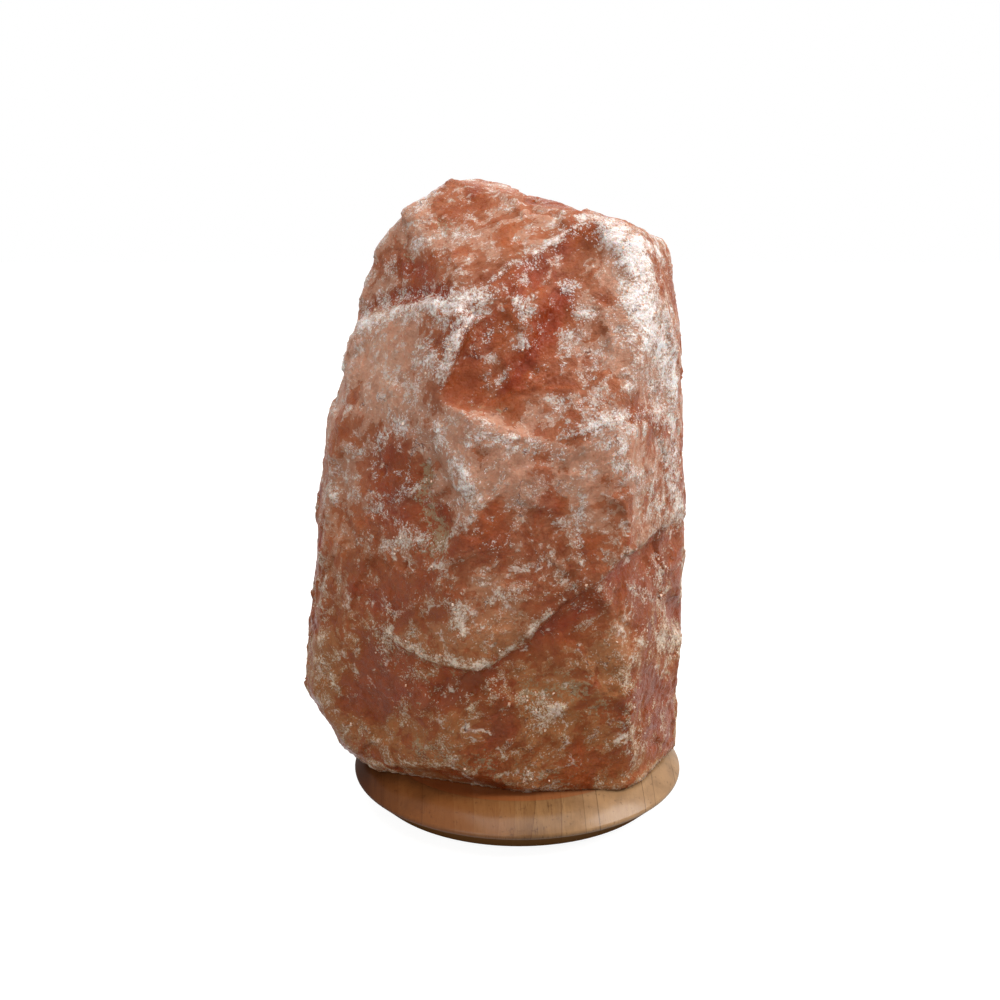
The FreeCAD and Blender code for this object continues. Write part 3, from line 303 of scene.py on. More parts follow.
crustMarks = (      # yellowish or grey-green crumbly salt
    (12, 1.0, noseValley), (8, 0.9, [(395, 237)]), (8, 0.8, [(439, 227), (457, 232)]),
    (8, 0.9, [(406, 256)]), (14, 0.8, [(380, 320), (430, 303), (470, 298)]),
    (14, 0.7, [(620, 471), (655, 485), (662, 509)]), (10, 0.7, [(641, 495)]),
    (16, 0.9, [(530, 700), (570, 690), (600, 700)]), (12, 0.8, [(626, 674), (627, 716)]),
    (14, 0.6, [(400, 655), (470, 660)]), (14, 0.6, [(600, 440), (650, 425)]),
    (12, 0.6, [(372, 548), (420, 536)]), (12, 0.8, [(420, 745), (500, 772), (560, 780)]),
    (9, 0.8, [(668, 640)]),
)
deepMarks = (      # clear places where the light sinks in: dark saturated orange or red, and painted shade along the cap's crease and below the low ledge on the right
    (15, 1.0, hollowEdge), (12, 0.9, [(425, 270), (400, 265)]), (9, 0.9, [(476, 190)]),
    (9, 1.0, [(603, 298)]), (12, 0.7, [(594, 364)]), (13, 0.8, [(663, 265)]),
    (8, 1.0, [(439, 508)]), (20, 0.8, [(395, 440), (385, 470), (395, 520)]),
    (14, 0.7, [(487, 517), (494, 537)]), (12, 0.7, [(547, 509), (540, 436)]),
    # the second mark here is painted shade below the low ledge on the right
    (12, 0.7, [(631, 530), (620, 497)]), (20, 0.5, [(564, 625), (620, 600), (668, 570)]),
    (16, 0.8, [(508, 688), (508, 723)]), (20, 0.8, [(660, 690), (658, 740)]),
    (14, 0.8, [(345, 700), (400, 695), (440, 700)]), (16, 0.7, [(350, 590), (400, 610)]),
    # the first mark here is painted shade in the crease at the foot of the cap
    (8, 1.0, capCrease), (16, 0.7, [(500, 315), (470, 360), (470, 400)]),
    (14, 0.7, [(560, 250), (600, 235)]), (14, 0.8, [(515, 290), (545, 265)]),
)
paleMarks = (      # milky peach zones
    (34, 1.5, [(380, 330), (395, 385)]), (26, 0.2, [(440, 205), (500, 215), (545, 235)]),
    (24, 0.9, [(385, 240), (400, 225)]), (26, 0.8, [(560, 470), (630, 520)]),
    (26, 0.9, [(455, 420), (540, 440)]), (20, 0.8, [(600, 300), (640, 330)]),
    (24, 0.9, [(615, 330), (650, 375)]), (22, 1.6, [(440, 440), (465, 490)]),
    (30, 1.2, [(622, 240), (650, 300), (662, 380)]),
    (30, 0.7, [(500, 460), (600, 470), (640, 455)]), (30, 0.4, [(480, 570), (560, 560)]),
    (30, 1.2, [(530, 695), (600, 680), (615, 650)]),
    (24, 0.7, [(360, 730), (420, 740), (470, 750)]), (22, 0.6, [(440, 640), (500, 640)]),
    (20, 0.6, [(330, 640), (330, 690)]),
)
# Relief: height in mm and half width in pixels. A ledge raises only the left side of its line.
reliefMarks = (
    (-1.6, 6, capCrease), (1.2, 11, noseRidge), (-1.6, 11, noseValley), (-1.0, 13, hollowEdge),
    (1.2, 14, [(672, 635)]), (-1.2, 5, [(447, 681), (429, 717)]), (-1.2, 6, [(603, 298)]),
    (-0.9, 4, [(581, 502), (578, 530), (582, 558)]),
)
ledgeMarks = (
    (0.9, 20, [(488, 671), (522, 646), (550, 620), (599, 582), (655, 541), (681, 520)]),
    (1.1, 16, [(396, 646), (420, 662), (447, 668), (488, 672)]),
    (0.8, 18, [(476, 296), (430, 300), (390, 308), (355, 322)]),
    (0.7, 14, [(578, 436), (606, 425), (638, 418), (662, 411)]),
    (0.8, 14, [(477, 302), (450, 340), (432, 375)]),
    (0.5, 12, [(482, 290), (530, 255), (568, 232), (608, 215)]),
    (0.7, 12, [(644, 615), (636, 657), (627, 716), (637, 763)]), (0.8, 12, hollowEdge[::-1]),
    (0.6, 10, noseRidge),
)


def flake(spot, size):      # height of a randomly tilted flake of salt, one for each cell
    scatter = 17.3      # sets cells that touch far apart in the random pattern
    inside = spot / size
    centre = noise.voronoi(inside)[1][0]
    lean = noise.cell_vector(centre * scatter) - Vector((0.5, 0.5, 0.5))
    return lean.dot(inside - centre) * 2 * size


def spread(mesh, values, passes):      # each point takes the mean of its neighbours
    pairs = np.zeros(len(mesh.edges) * 2, int)
    mesh.edges.foreach_get("vertices", pairs)
    first, second = pairs.reshape(-1, 2).T
    count = np.bincount(np.concatenate([first, second]), minlength=len(values))
    for _ in range(passes):
        total = np.stack([np.bincount(first, part[second], len(values))
                          + np.bincount(second, part[first], len(values))
                          for part in values.T], 1)
        values = total / count[:, None]
    return values


def markStrength(pixels, marks):
    strength = np.zeros(len(pixels))
    for halfWidth, level, line in marks:
        distance, _ = nearLine(pixels, line)
        spreadOut = distance / (halfWidth * crystal["markSpread"])
        strength = np.maximum(strength, level * np.exp(-spreadOut ** 2))
    return strength


def evenCrystal():      # the solid's outside and cavity in small faces of one size
    mesh = nodes["salt_crystal"].data.copy()
    piece = addObject("cleaved_crystal", mesh)
    shell = bmesh.new()
    shell.from_mesh(mesh)
    bmesh.ops.remove_doubles(shell, verts=shell.verts, dist=0.001 * millimetre)
    shell.to_mesh(mesh)
    shell.free()
    remesh = piece.modifiers.new("even_faces", "REMESH")
    remesh.mode = "VOXEL"
    remesh.voxel_size = crystal["grainSize"]
    return settle(piece)


def vectors(mesh, kind):      # the places or the normals of a mesh's points
    values = np.zeros(len(mesh.vertices) * 3)
    mesh.vertices.foreach_get(kind, values)
    return values.reshape(-1, 3)


def flaked(points, free):      # mm that flakes, pits and swells raise each point
    height = np.zeros(len(points))
    (bendSize, bendReach), (pitSize, pitDepth) = crystal["flakeBend"], crystal["pits"]
    swellSize, swellHeight = crystal["swells"]
    for index in np.nonzero(free > 0)[0]:
        spot = Vector(points[index]) / millimetre
        bent = spot + bendReach * noise.noise_vector(spot / bendSize)
        rise = sum(flake(bent, size) * tilt for size, tilt in crystal["flakes"])
        rise -= (pitDepth * abs(noise.noise(spot / pitSize))
                 + swellHeight * noise.noise(spot / swellSize))
        height[index] = rise
    return height - crystal["sink"]


def fromPhoto(points, normals):      # pixels of points, and how far each faces the photograph
    pixels = photoPixels(points)
    for size, reach in crystal["markWander"]:      # the marks wander as real edges do
        shift = [noise.noise_vector(Vector(place) / (size * millimetre)) for place in points]
        pixels += np.array(shift)[:, (0, 2)] * reach
    sight = points - np.array(photo["place"])
    sight /= np.linalg.norm(sight, axis=1)[:, None]
    return pixels, softStep(0.05, 0.3, -(sight * normals).sum(1))


def marked(height, pixels, seen):      # marks added to heights, and ledges' lit and shaded sides
    for rise, halfWidth, line in reliefMarks:
        distance, _ = nearLine(pixels, line)
        height += seen * rise * np.exp(-(distance / halfWidth) ** 2)
    lit, shaded = np.zeros((2, len(height)))
    step = crystal["ledgeStep"]
    for rise, reach, line in ledgeMarks:
        distance, side = nearLine(pixels, line)
        upper = softStep(-step, step, distance * side)
        fade = np.exp(-distance / reach)
        height += seen * rise * fade * upper
        lit = np.maximum(lit, seen * fade * upper)
        shaded = np.maximum(shaded, seen * fade * (1 - upper))
    return height, lit, shaded


def carveCrystal():
    piece = evenCrystal()
    mesh = piece.data
    places = vectors(mesh, "co")
    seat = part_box("salt_crystal")[0].z
    radius = np.hypot(places[:, 0], places[:, 1])
    drilled = (radius < crystal["cavityRadius"]) & (places[:, 2] < crystal["cavityTop"])
    free = np.where(drilled, 0, softStep(seat + 0.5 * crystal["grainSize"],
                                         seat + crystal["seatFade"], places[:, 2]))
    rounded = spread(mesh, places, crystal["edgeRounding"])
    worn = places + (rounded - places) * free[:, None]
    smooth = spread(mesh, worn, crystal["ridgeReach"])
    mesh.vertices.foreach_set("co", worn.ravel())
    mesh.update()
    normals = spread(mesh, vectors(mesh, "normal"), 4)
    normals /= np.linalg.norm(normals, axis=1)[:, None]
    convex = ((worn - smooth) * normals).sum(1) / millimetre
    pixels, seen = fromPhoto(worn, normals)
    height, lit, shaded = marked(flaked(worn, free), pixels, seen)
    moved = worn + normals * (height * free * millimetre)[:, None]
    flat = np.abs(places[:, 2] - seat) < 0.6 * crystal["grainSize"]
    moved[flat, 2] = seat
    mesh.vertices.foreach_set("co", moved.ravel())

    # masks for the material: marks where the photograph sees the salt, elsewhere random clouds
    cloud = np.array([noise.noise(Vector(place) / crystal["cloudSize"]) for place in worn])
    spots = np.array([noise.noise(Vector(place) / crystal["spotSize"]) for place in worn])
    wild = np.clip(0.35 + convex * 0.35 + spots * 0.7 + cloud * 0.4, 0, 1)
    masks = {
        # the ledges' lit sides add painted highlight to the frost mask
        "frost": np.maximum(seen * markStrength(pixels, frostMarks) + 0.35 * lit,
                            wild * (1 - 0.55 * seen)),
        "crust": np.maximum(seen * markStrength(pixels, crustMarks),
                            np.clip(cloud * 1.3 - spots * 0.5, 0, 1) * (1 - 0.7 * seen)),
        # the ledges' shaded sides add painted shade to the deep mask
        "deep": np.maximum(seen * markStrength(pixels, deepMarks) + 0.6 * shaded,
                           np.clip(-spots * 1.2 - cloud, 0, 1) * (1 - 0.6 * seen)),
        "pale": np.maximum(seen * markStrength(pixels, paleMarks),
                           np.clip(cloud * 1.2 + 0.2, 0, 1) * (1 - 0.6 * seen)),
        "worn": 0.5 + 0.5 * np.clip(convex * 1.6, -1, 1),
    }
    masks["crumbly"] = free * np.clip(masks["frost"] - 0.35 + 0.5 * masks["crust"]
                                      + 0.5 * spots, 0, 1) ** 2
    for name, values in masks.items():
        layer = mesh.attributes.new(name, "FLOAT", "POINT")
        layer.data.foreach_set("value", np.clip(values, 0, 2).astype(np.float32))
    mesh.update()
    mesh.shade_smooth()
    print("crystal carved:", len(places), "points,", len(mesh.polygons), "faces")
    return piece


def flakeGroup():      # heights of small tilted flakes, as cleaved salt has
    tree, given, stop = nodeGroup("Shader", "salt_flakes", {
        "Where": "Vector", "Flakes per metre": "Float"}, {"Height": "Float"})
    where, perMetre = given["Where"], given["Flakes per metre"]
    cell = addNode(tree, "ShaderNodeTexVoronoi", Vector=where, Scale=perMetre)
    away = vectorMaths(tree, "SUBTRACT", where, cell.outputs["Position"])
    lean = vectorMaths(tree, "SUBTRACT", cell.outputs["Color"], (0.5, 0.5, 0.5))
    height = vectorMaths(tree, "DOT_PRODUCT", away, lean, result="Value")
    fill(tree, stop, Height=times(tree, height, perMetre))
    return tree


saltFlakes = flakeGroup()


def flakes(tree, where, perMetre):
    return addNode(tree, "ShaderNodeGroup", {"node_tree": saltFlakes}, Where=where,
                   Flakes_per_metre=perMetre).outputs["Height"]


salt = {      # patterns and cells are counted to a metre, tones are as painted
    "zones": 22, "patches": 58, "lumps": 190, "grains": 780, "streaks": 230, "lace": 1500,
    "bends": ((45, 9 * millimetre), (260, 2.2 * millimetre)),      # number to a metre and reach
    "streakTurn": (0, -32, 18), "streakStretch": (3.2, 1, 1),
    "facets": ((75, 0.6), (190, 0.4)),      # cells and their share
    "chips": (      # cells, reach in a cell, odds and strength
        (480, 0.45, 0.77, 0.45), (950, 0.5, 0.7, 0.55), (1900, 0.55, 0.65, 0.6),
    ),
    "lines": (      # offset, number to a metre, half width, strength and tone
        (0.0, 34, 0.014, 0.75, "frost"), (3.7, 34, 0.006, 0.7, "crack"),
        (1.9, 62, 0.008, 0.4, "frost"),
    ),
    "deep": colour(131, 45, 5), "red": colour(119, 47, 16), "orange": colour(157, 77, 27),
    "milk": colour(168, 113, 84), "beige": colour(203, 165, 142),
    # the low tones are painted shade: below brownBelow the film and frost turn darker, as light
    # falls from above
    "lowMilk": colour(142, 84, 44), "lowBeige": colour(170, 119, 72),
    "crust": colour(148, 128, 98), "crack": colour(84, 24, 10),
    # glint and lowGlint are the tone of painted glints, also used for white grains
    "frost": colour(214, 192, 178), "glint": colour(238, 233, 231),
    "lowFrost": colour(188, 148, 112), "lowGlint": colour(228, 210, 190),
    "brownBelow": 60 * millimetre, "paleAbove": 170 * millimetre,
    "bumpDepth": 1.3 * millimetre,
    "weights": {      # how much each pattern and each painted mask counts
        "warmth": {"zone": 0.6, "lump": 0.4},
        "depth": {"deep": 0.35, "patch": 0.5, "zone": 0.3},
        "film": {"patch": 0.4, "lump": 0.22, "streak": 0.2, "zone": 0.18, "pale": 0.22,
                 "frost": 0.1, "deep": -0.2, "worn": 0.12},
        "crumbs": {"lump": 0.45, "grain": 0.55, "crust": 0.36, "worn": -0.15},
        "rime": {"lump": 0.3, "grain": 0.36, "patch": 0.14, "streak": 0.2, "frost": 0.2,
                 "worn": 0.2, "deep": -0.07},
        "clusters": {"lump": 0.5, "patch": 0.3, "streak": 0.2},
        "chips": {"cell": 0.35, "frost": 0.22, "lump": 0.3, "streak": 0.2, "patch": 0.15,
                  "worn": 0.06},
    },
    "steps": {      # the level of its pattern where each effect starts and where it is whole
        "thin": (0.45, 0.51), "thick": (0.575, 0.62), "haze": (0.28, 0.72),
        "bloom": (0.5, 0.95), "depth": (0.55, 0.85), "crumbs": (0.78, 0.9),
        "frost": (0.62, 0.76), "glint": (0.79, 0.9), "clusters": (0.5, 0.66),
        "rim": (0.016, 0.004), "rimGaps": (0.42, 0.66),
    },
    "coats": {      # how strongly each covers what is under it
        "haze": 0.34, "thin": 0.25, "bloom": 0.37, "thick": 0.33, "crumbs": 0.75, "rim": 0.55,
        "frost": 0.65, "glint": 0.8,
    },
}


def saltMaterial():
    weights, steps, coats = salt["weights"], salt["steps"], salt["coats"]
    material, tree, shader, where = newMaterial("rock_salt")
    bent = where
    for perMetre, reach in salt["bends"]:
        bent = wander(tree, bent, perMetre, reach)
    along = laid(tree, bent, salt["streakTurn"], salt["streakStretch"])
    parts = {
        "zone": strong(tree, pattern(tree, bent, salt["zones"], 3, 0.5)),
        "patch": strong(tree, pattern(tree, bent, salt["patches"], 9, 0.58, 0.3)),
        "lump": strong(tree, pattern(tree, bent, salt["lumps"], 7, 0.66, 0.2)),
        "grain": strong(tree, pattern(tree, where, salt["grains"], 4, 0.7)),
        "streak": strong(tree, pattern(tree, along, salt["streaks"], 6, 0.62)),
        "worn": maths(tree, "SUBTRACT", painted(tree, "worn"), 0.5),
    }
    parts.update({name: painted(tree, name) for name in ("frost", "crust", "deep", "pale")})

    def weighed(use):
        return mixed(tree, *[(weight, parts[name]) for name, weight in weights[use].items()])

    def half(first, second):
        return mixed(tree, (0.5, parts[first]), (0.5, parts[second]))

    def stepped(name, value):
        return edge(tree, value, *steps[name])

    def coated(body, name, amount, tone):
        return blend(tree, times(tree, amount, coats[name]), body, tone)

    # clear salt: each cleaved flake lets a little more or less light in
    clear = blend(tree, weighed("warmth"), salt["red"], salt["orange"])
    clear = blend(tree, stepped("depth", weighed("depth")), clear, salt["deep"])
    facets = mixed(tree, *[(part, cells(tree, bent, perMetre, "Color"))
                           for perMetre, part in salt["facets"]])
    shade = addNode(tree, "ShaderNodeCombineColor", {"mode": "HSV"}, Red=0.0, Green=0.0,
                    Blue=edge(tree, facets, 0, 1, 0.8, 1.2))
    clear = blend(tree, 1.0, clear, shade.outputs[0], "MULTIPLY")

    # milky film in two coats, with lobed edges, painted darker and browner towards the foot as
    # shade
    height = addNode(tree, "ShaderNodeSeparateXYZ", Vector=bent).outputs["Z"]
    high = edge(tree, height, salt["brownBelow"], salt["paleAbove"])
    film = weighed("film")
    thin, thick = stepped("thin", film), stepped("thick", film)
    haze, bloom = stepped("haze", film), stepped("bloom", film)
    mottle = edge(tree, parts["grain"], 0, 1, 0.6, 1.0)
    bloom = times(tree, bloom, edge(tree, half("lump", "streak"), 0.2, 0.8, 0.4, 1.1))
    first = mixed(tree, (coats["haze"], haze), (coats["thin"], times(tree, thin, mottle)))
    body = blend(tree, first, clear, blend(tree, high, salt["lowMilk"], salt["milk"]))
    second = mixed(tree, (coats["bloom"], bloom), (coats["thick"], times(tree, thick, mottle)))
    body = blend(tree, second, body, blend(tree, high, salt["lowBeige"], salt["beige"]))
    body = coated(body, "crumbs", stepped("crumbs", weighed("crumbs")), salt["crust"])

    # frost: crushed white salt on the film's rim, on edges, in clusters and along veins; the
    # glint coat on top is a painted glint
    # frost and glint are also painted darker towards the foot as shade
    white = blend(tree, high, salt["lowFrost"], salt["frost"])
    brightest = blend(tree, high, salt["lowGlint"], salt["glint"])
    rim = maths(tree, "ABSOLUTE", maths(tree, "SUBTRACT", film, 0.6))
    rim = times(tree, stepped("rim", rim), stepped("rimGaps", half("lump", "grain")))
    body = coated(body, "rim", rim, white)
    rime = weighed("rime")
    lace = edge(tree, pattern(tree, where, salt["lace"], 2), 0.38, 0.58, 0.62, 1.0)
    frost, glint = [times(tree, stepped(name, rime), lace) for name in ("frost", "glint")]
    body = coated(body, "frost", frost, white)
    body = coated(body, "glint", glint, brightest)
    for offset, perMetre, width, strength, tint in salt["lines"]:
        course = addNode(tree, "ShaderNodeMapping", Vector=bent, Location=(offset, 0, 0))
        vein = pattern(tree, course.outputs[0], perMetre, 5, 0.55)
        near = maths(tree, "ABSOLUTE", maths(tree, "SUBTRACT", vein, 0.5))
        line = times(tree, edge(tree, near, width, width * 0.3),
                     stepped("clusters", weighed("clusters")))
        body = blend(tree, times(tree, line, strength), body, salt[tint])
    for perMetre, size, least, strength in salt["chips"]:      # white grains, most in clusters, in the glint tone: partly painted glints
        grown = edge(tree, cells(tree, bent, perMetre), size, size * 0.7)
        parts["cell"] = cells(tree, bent, perMetre, "Color")
        chip = times(tree, grown, edge(tree, weighed("chips"), least, least + 0.07))
        body = blend(tree, times(tree, chip, strength), body, brightest)

    fill(tree, shader, Base_Color=body, IOR=1.544, Specular_IOR_Level=0.17,
         Roughness=mixed(tree, (0.3, 1.0), (0.22, thin), (0.26, frost)),
         Subsurface_Weight=0.35, Subsurface_Radius=(1.0, 0.4, 0.25),
         Subsurface_Scale=2.2 * millimetre)
    relief = mixed(tree, (0.7, flakes(tree, bent, 150)), (0.55, flakes(tree, bent, 400)),
                   (0.4, flakes(tree, where, 1100)), (0.2, parts["lump"]),
                   (0.2, parts["grain"]), (0.3, frost), (0.14, thin), (0.12, thick))
    bump(tree, shader, relief, 0.85, salt["bumpDepth"])
    return material


crystalPiece = carveCrystal()
crystalPiece.data.materials.clear()
crystalPiece.data.materials.append(saltMaterial())
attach(crystalPiece, "root")
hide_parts("salt_crystal")


def geometryGroup(name, sizes):      # a tree that takes a mesh and named sizes
    return nodeGroup("Geometry", name, {"Geometry": "Geometry", **sizes},
                     {"Geometry": "Geometry"})


def finishTree(tree, given, stop, instances):      # every tree ends as real faces with a finish
    real = addNode(tree, "GeometryNodeRealizeInstances", Geometry=instances)
    dressed = addNode(tree, "GeometryNodeSetMaterial", Geometry=real.outputs[0],
                      Material=given["Material"])
    fill(tree, stop, Geometry=dressed.outputs[0])


def grow(name, mesh, tree, values):      # runs a node tree on a mesh and keeps the plain result
    piece = addObject(name, mesh)
    modifier = piece.modifiers.new("build", "NODES")
    modifier.node_group = tree
    for item in tree.interface.items_tree:
        if item.name in values:
            modifier[item.identifier] = values[item.name]
    return settle(piece)


crumbs = {      # loose grains that cling to the crushed places
    "density": 60000.0,
    "size": 0.9 * millimetre,
    "seed": 11,
    "pale": colour(232, 214, 196), "warm": colour(196, 140, 104),
}


def crumbMaterial():
    material, tree, shader, where = newMaterial("salt_grain")
    body = blend(tree, strong(tree, pattern(tree, where, 420, 3)), crumbs["warm"], crumbs["pale"])
    fill(tree, shader, Base_Color=body, IOR=1.544,
         Roughness=edge(tree, pattern(tree, where, 900, 2), 0.3, 0.7, 0.15, 0.5))
    bump(tree, shader, pattern(tree, where, 2600, 2), 0.3, 0.2 * millimetre)
    return material


def crumbTree():
    tree, given, stop = geometryGroup("clinging_grains", {
        "Density": "Float", "Grain size": "Float", "Seed": "Int", "Material": "Material"})
    crumbly = addNode(tree, "GeometryNodeInputNamedAttribute", {"data_type": "FLOAT"},
                      Name="crumbly").outputs[0]
    density = times(tree, crumbly, given["Density"])
    strewn = addNode(tree, "GeometryNodeDistributePointsOnFaces", Mesh=given["Geometry"],
                     Density=density, Seed=given["Seed"]).outputs["Points"]
    grain = tree.nodes.new("GeometryNodeMeshCube")
    turn = addNode(tree, "FunctionNodeRandomValue", {"data_type": "FLOAT_VECTOR"},
                   Max=(math.tau, math.tau, math.tau), Seed=given["Seed"]).outputs[0]
    width = addNode(tree, "FunctionNodeRandomValue", {"data_type": "FLOAT_VECTOR"},
                    Min=(0.35, 0.35, 0.35), Max=(1.3, 1.0, 0.8), Seed=given["Seed"]).outputs[0]
    sized = vectorMaths(tree, "SCALE", width, scale=given["Grain size"])
    placed = addNode(tree, "GeometryNodeInstanceOnPoints", Points=strewn,
                     Instance=grain.outputs[0], Rotation=turn, Scale=sized)
    finishTree(tree, given, stop, placed.outputs[0])
    return tree


crumbPiece = grow("salt_crumbs", crystalPiece.data.copy(), crumbTree(), {
    "Density": crumbs["density"], "Grain size": crumbs["size"], "Seed": crumbs["seed"],
    "Material": crumbMaterial()})
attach(crumbPiece, "root")
print("salt crumbs:", len(crumbPiece.data.polygons), "faces")


wood = {      # quarter-sawn, the grain runs from front to back
    "light": colour(146, 109, 70), "middle": colour(118, 81, 46), "dark": colour(54, 29, 14),
    # left and the end tone are painted shade towards the base's left end; right is a painted
    # highlight on its right
    "left": colour(116, 64, 28), "shadedEnd": colour(64, 30, 14), "rawShaded": colour(112, 76, 42),
    "right": colour(176, 142, 106), "top": colour(150, 78, 38),
    "rawShadedBelow": 10.3 * millimetre,      # the undercut was never oiled; its tone is painted darker as shade under the flank
    "topRadius": 56.5 * millimetre,     # the flat top took more colour from the oil
    "stretch": (1, 16, 5),
    "rings": 105, "fibres": 1000, "lines": 60, "pores": 1700,      # to a metre
    "stains": 34, "dents": 520,
    "sideLight": {      # painted light and shade across the base, in metres: where a tone starts, where it is whole, strength
        "left": (0.03, -0.03, 0.8), "right": (0.015, 0.06, 0.5), "shadedEnd": (-0.03, -0.055, 0.8),
    },
}


def woodMaterial():
    material, tree, shader, where = newMaterial("turned_wood")
    board = laid(tree, wander(tree, where, 12, 3 * millimetre), (0, 0, 3), wood["stretch"])
    across = addNode(tree, "ShaderNodeSeparateXYZ", Vector=board).outputs["X"]
    drift = times(tree, pattern(tree, board, 26, 2), 5)
    rings = maths(tree, "ADD", times(tree, across, wood["rings"]), drift)
    growth = maths(tree, "FRACT", rings)
    fibre = strong(tree, pattern(tree, board, wood["fibres"], 5, 0.7))
    streak = strong(tree, pattern(tree, board, wood["lines"], 5, 0.65))
    pores = edge(tree, pattern(tree, board, wood["pores"], 2, 0.5), 0.62, 0.7)
    spot = addNode(tree, "ShaderNodeSeparateXYZ", Vector=where).outputs
    place = maths(tree, "ADD", spot["X"], times(tree, streak, 0.02))
    line = times(tree, edge(tree, growth, 0.93, 0.985), edge(tree, streak, 0.35, 0.6))
    line = times(tree, line, edge(tree, place, 0.02, 0.06, 0.3, 1.0))

    def stained(body, amount, strength, tone):
        return blend(tree, times(tree, amount, strength), body, wood[tone])

    def sideLit(body, tone):
        start, whole, strength = wood["sideLight"][tone]
        return blend(tree, edge(tree, place, start, whole, 0, strength), body, wood[tone])

    body = blend(tree, mixed(tree, (0.5, growth), (0.5, streak)), wood["light"], wood["middle"])
    body = stained(body, fibre, 0.32, "dark")
    body = stained(body, pores, 0.45, "dark")
    # painted shade to the left and a painted highlight to the right, as the light falls from the
    # right
    body = sideLit(sideLit(body, "left"), "right")
    body = sideLit(stained(body, line, 0.7, "dark"), "shadedEnd")
    stain = strong(tree, pattern(tree, where, wood["stains"], 5, 0.6))
    body = blend(tree, edge(tree, stain, 0.45, 1.0, 0, 0.4), body, wood["dark"])
    dents = edge(tree, pattern(tree, where, wood["dents"], 4, 0.6), 0.62, 0.68)
    body = stained(body, dents, 0.3, "dark")
    # the undercut: raw wood, rougher and without oil, in a tone painted darker as shade
    rawShaded = edge(tree, spot["Z"], wood["rawShadedBelow"], wood["rawShadedBelow"] - millimetre)
    body = stained(body, rawShaded, 0.85, "rawShaded")
    level = vectorMaths(tree, "MULTIPLY", where, (1, 1, 0))
    radius = vectorMaths(tree, "LENGTH", level, result="Value")
    body = stained(body, edge(tree, radius, wood["topRadius"], wood["topRadius"] - millimetre),
                   0.5, "top")
    oiled = times(tree, edge(tree, rawShaded, 0, 1, 0.4, 0),
                  edge(tree, place, -0.055, -0.01, 0.3, 1))
    fill(tree, shader, Base_Color=body, Coat_Weight=oiled, Coat_Roughness=0.24,
         Specular_IOR_Level=0.0,      # only the oil shines
         Roughness=mixed(tree, (0.34, 1.0), (0.14, fibre), (0.3, rawShaded)))
    relief = mixed(tree, (0.6, fibre), (-1.0, pores), (-1.0, line), (-1.2, dents), (1.5, stain))
    bump(tree, shader, relief, 0.3, 0.35 * millimetre)
    return material


def dress(material, *names):      # a CAD node keeps its mesh and takes a finish
    for name in names:
        mesh = nodes[name].data
        mesh.materials.clear()
        mesh.materials.append(material)


dress(woodMaterial(), "wood_base")
print("wooden base finished")


def skinGroup(name):      # an effect that several finishes use, each with its own values
    return nodeGroup("Shader", name, {
        "Where": "Vector", "Tone": "Color", "Dirt": "Color", "Marks per metre": "Float",
        "Dirt amount": "Float"}, {"Color": "Color", "Roughness": "Float", "Height": "Float"})


def metalGroup():      # handled metal: clouds of tarnish, hairline scratches
    tree, given, stop = skinGroup("handled_metal")
    where = given["Where"]
    cloud = strong(tree, pattern(tree, where, 160, 6, 0.6, 0.5))
    marks = strong(tree, pattern(tree, laid(tree, where, (20, 0, 35), (9, 1, 3)),
                                 given["Marks per metre"], 6, 0.7))
    dull = times(tree, edge(tree, mixed(tree, (0.7, cloud), (0.3, marks)), 0.4, 0.8),
                 given["Dirt amount"])
    fill(tree, stop, Color=blend(tree, dull, given["Tone"], given["Dirt"]), Height=marks,
         Roughness=mixed(tree, (0.2, 1.0), (0.16, marks), (0.3, dull)))
    return tree


def mouldedGroup():      # moulded or pressed skin: fine grain and settled dust
    tree, given, stop = skinGroup("moulded_skin")
    where = given["Where"]
    grain = strong(tree, pattern(tree, where, given["Marks per metre"], 3, 0.6))
    cloud = strong(tree, pattern(tree, where, 130, 7, 0.65, 0.4))
    dusty = times(tree, mixed(tree, (0.75, cloud), (0.25, grain)), given["Dirt amount"])
    fill(tree, stop, Color=blend(tree, dusty, given["Tone"], given["Dirt"]), Height=grain,
         Roughness=mixed(tree, (0.7, cloud), (0.3, grain)))
    return tree


metalEffect, mouldedEffect = metalGroup(), mouldedGroup()


def skinMaterial(name, effect, tone, dirt, marks, amount):
    material, tree, shader, where = newMaterial(name)
    skin = addNode(tree, "ShaderNodeGroup", {"node_tree": effect}, Where=where,
                   Tone=colour(*tone), Dirt=colour(*dirt), Marks_per_metre=marks,
                   Dirt_amount=amount).outputs
    fill(tree, shader, Base_Color=skin["Color"])
    return material, tree, shader, skin


def metalMaterial(name, *look):
    material, tree, shader, skin = skinMaterial(name, metalEffect, *look)
    fill(tree, shader, Roughness=skin["Roughness"], Metallic=1.0)
    bump(tree, shader, skin["Height"], 0.15, 0.1 * millimetre)
    return material


def mouldedMaterial(name, *look):
    *look, clean, dusty = look
    material, tree, shader, skin = skinMaterial(name, mouldedEffect, *look)
    fill(tree, shader, Roughness=edge(tree, skin["Roughness"], 0, 1, clean, dusty))
    bump(tree, shader, skin["Height"], 0.2, 0.15 * millimetre)
    return material


glass = {"clean": colour(252, 253, 253), "hazy": colour(240, 243, 242)}


def glassMaterial():
    material, tree, shader, where = newMaterial("blown_glass")
    film = strong(tree, pattern(tree, where, 90, 5, 0.6, 0.5))
    fill(tree, shader, Base_Color=blend(tree, film, glass["clean"], glass["hazy"]),
         Roughness=edge(tree, film, 0.4, 1, 0.02, 0.09), Transmission_Weight=1.0, IOR=1.5)
    bump(tree, shader, pattern(tree, where, 60, 2), 0.1, 0.3 * millimetre)
    return material


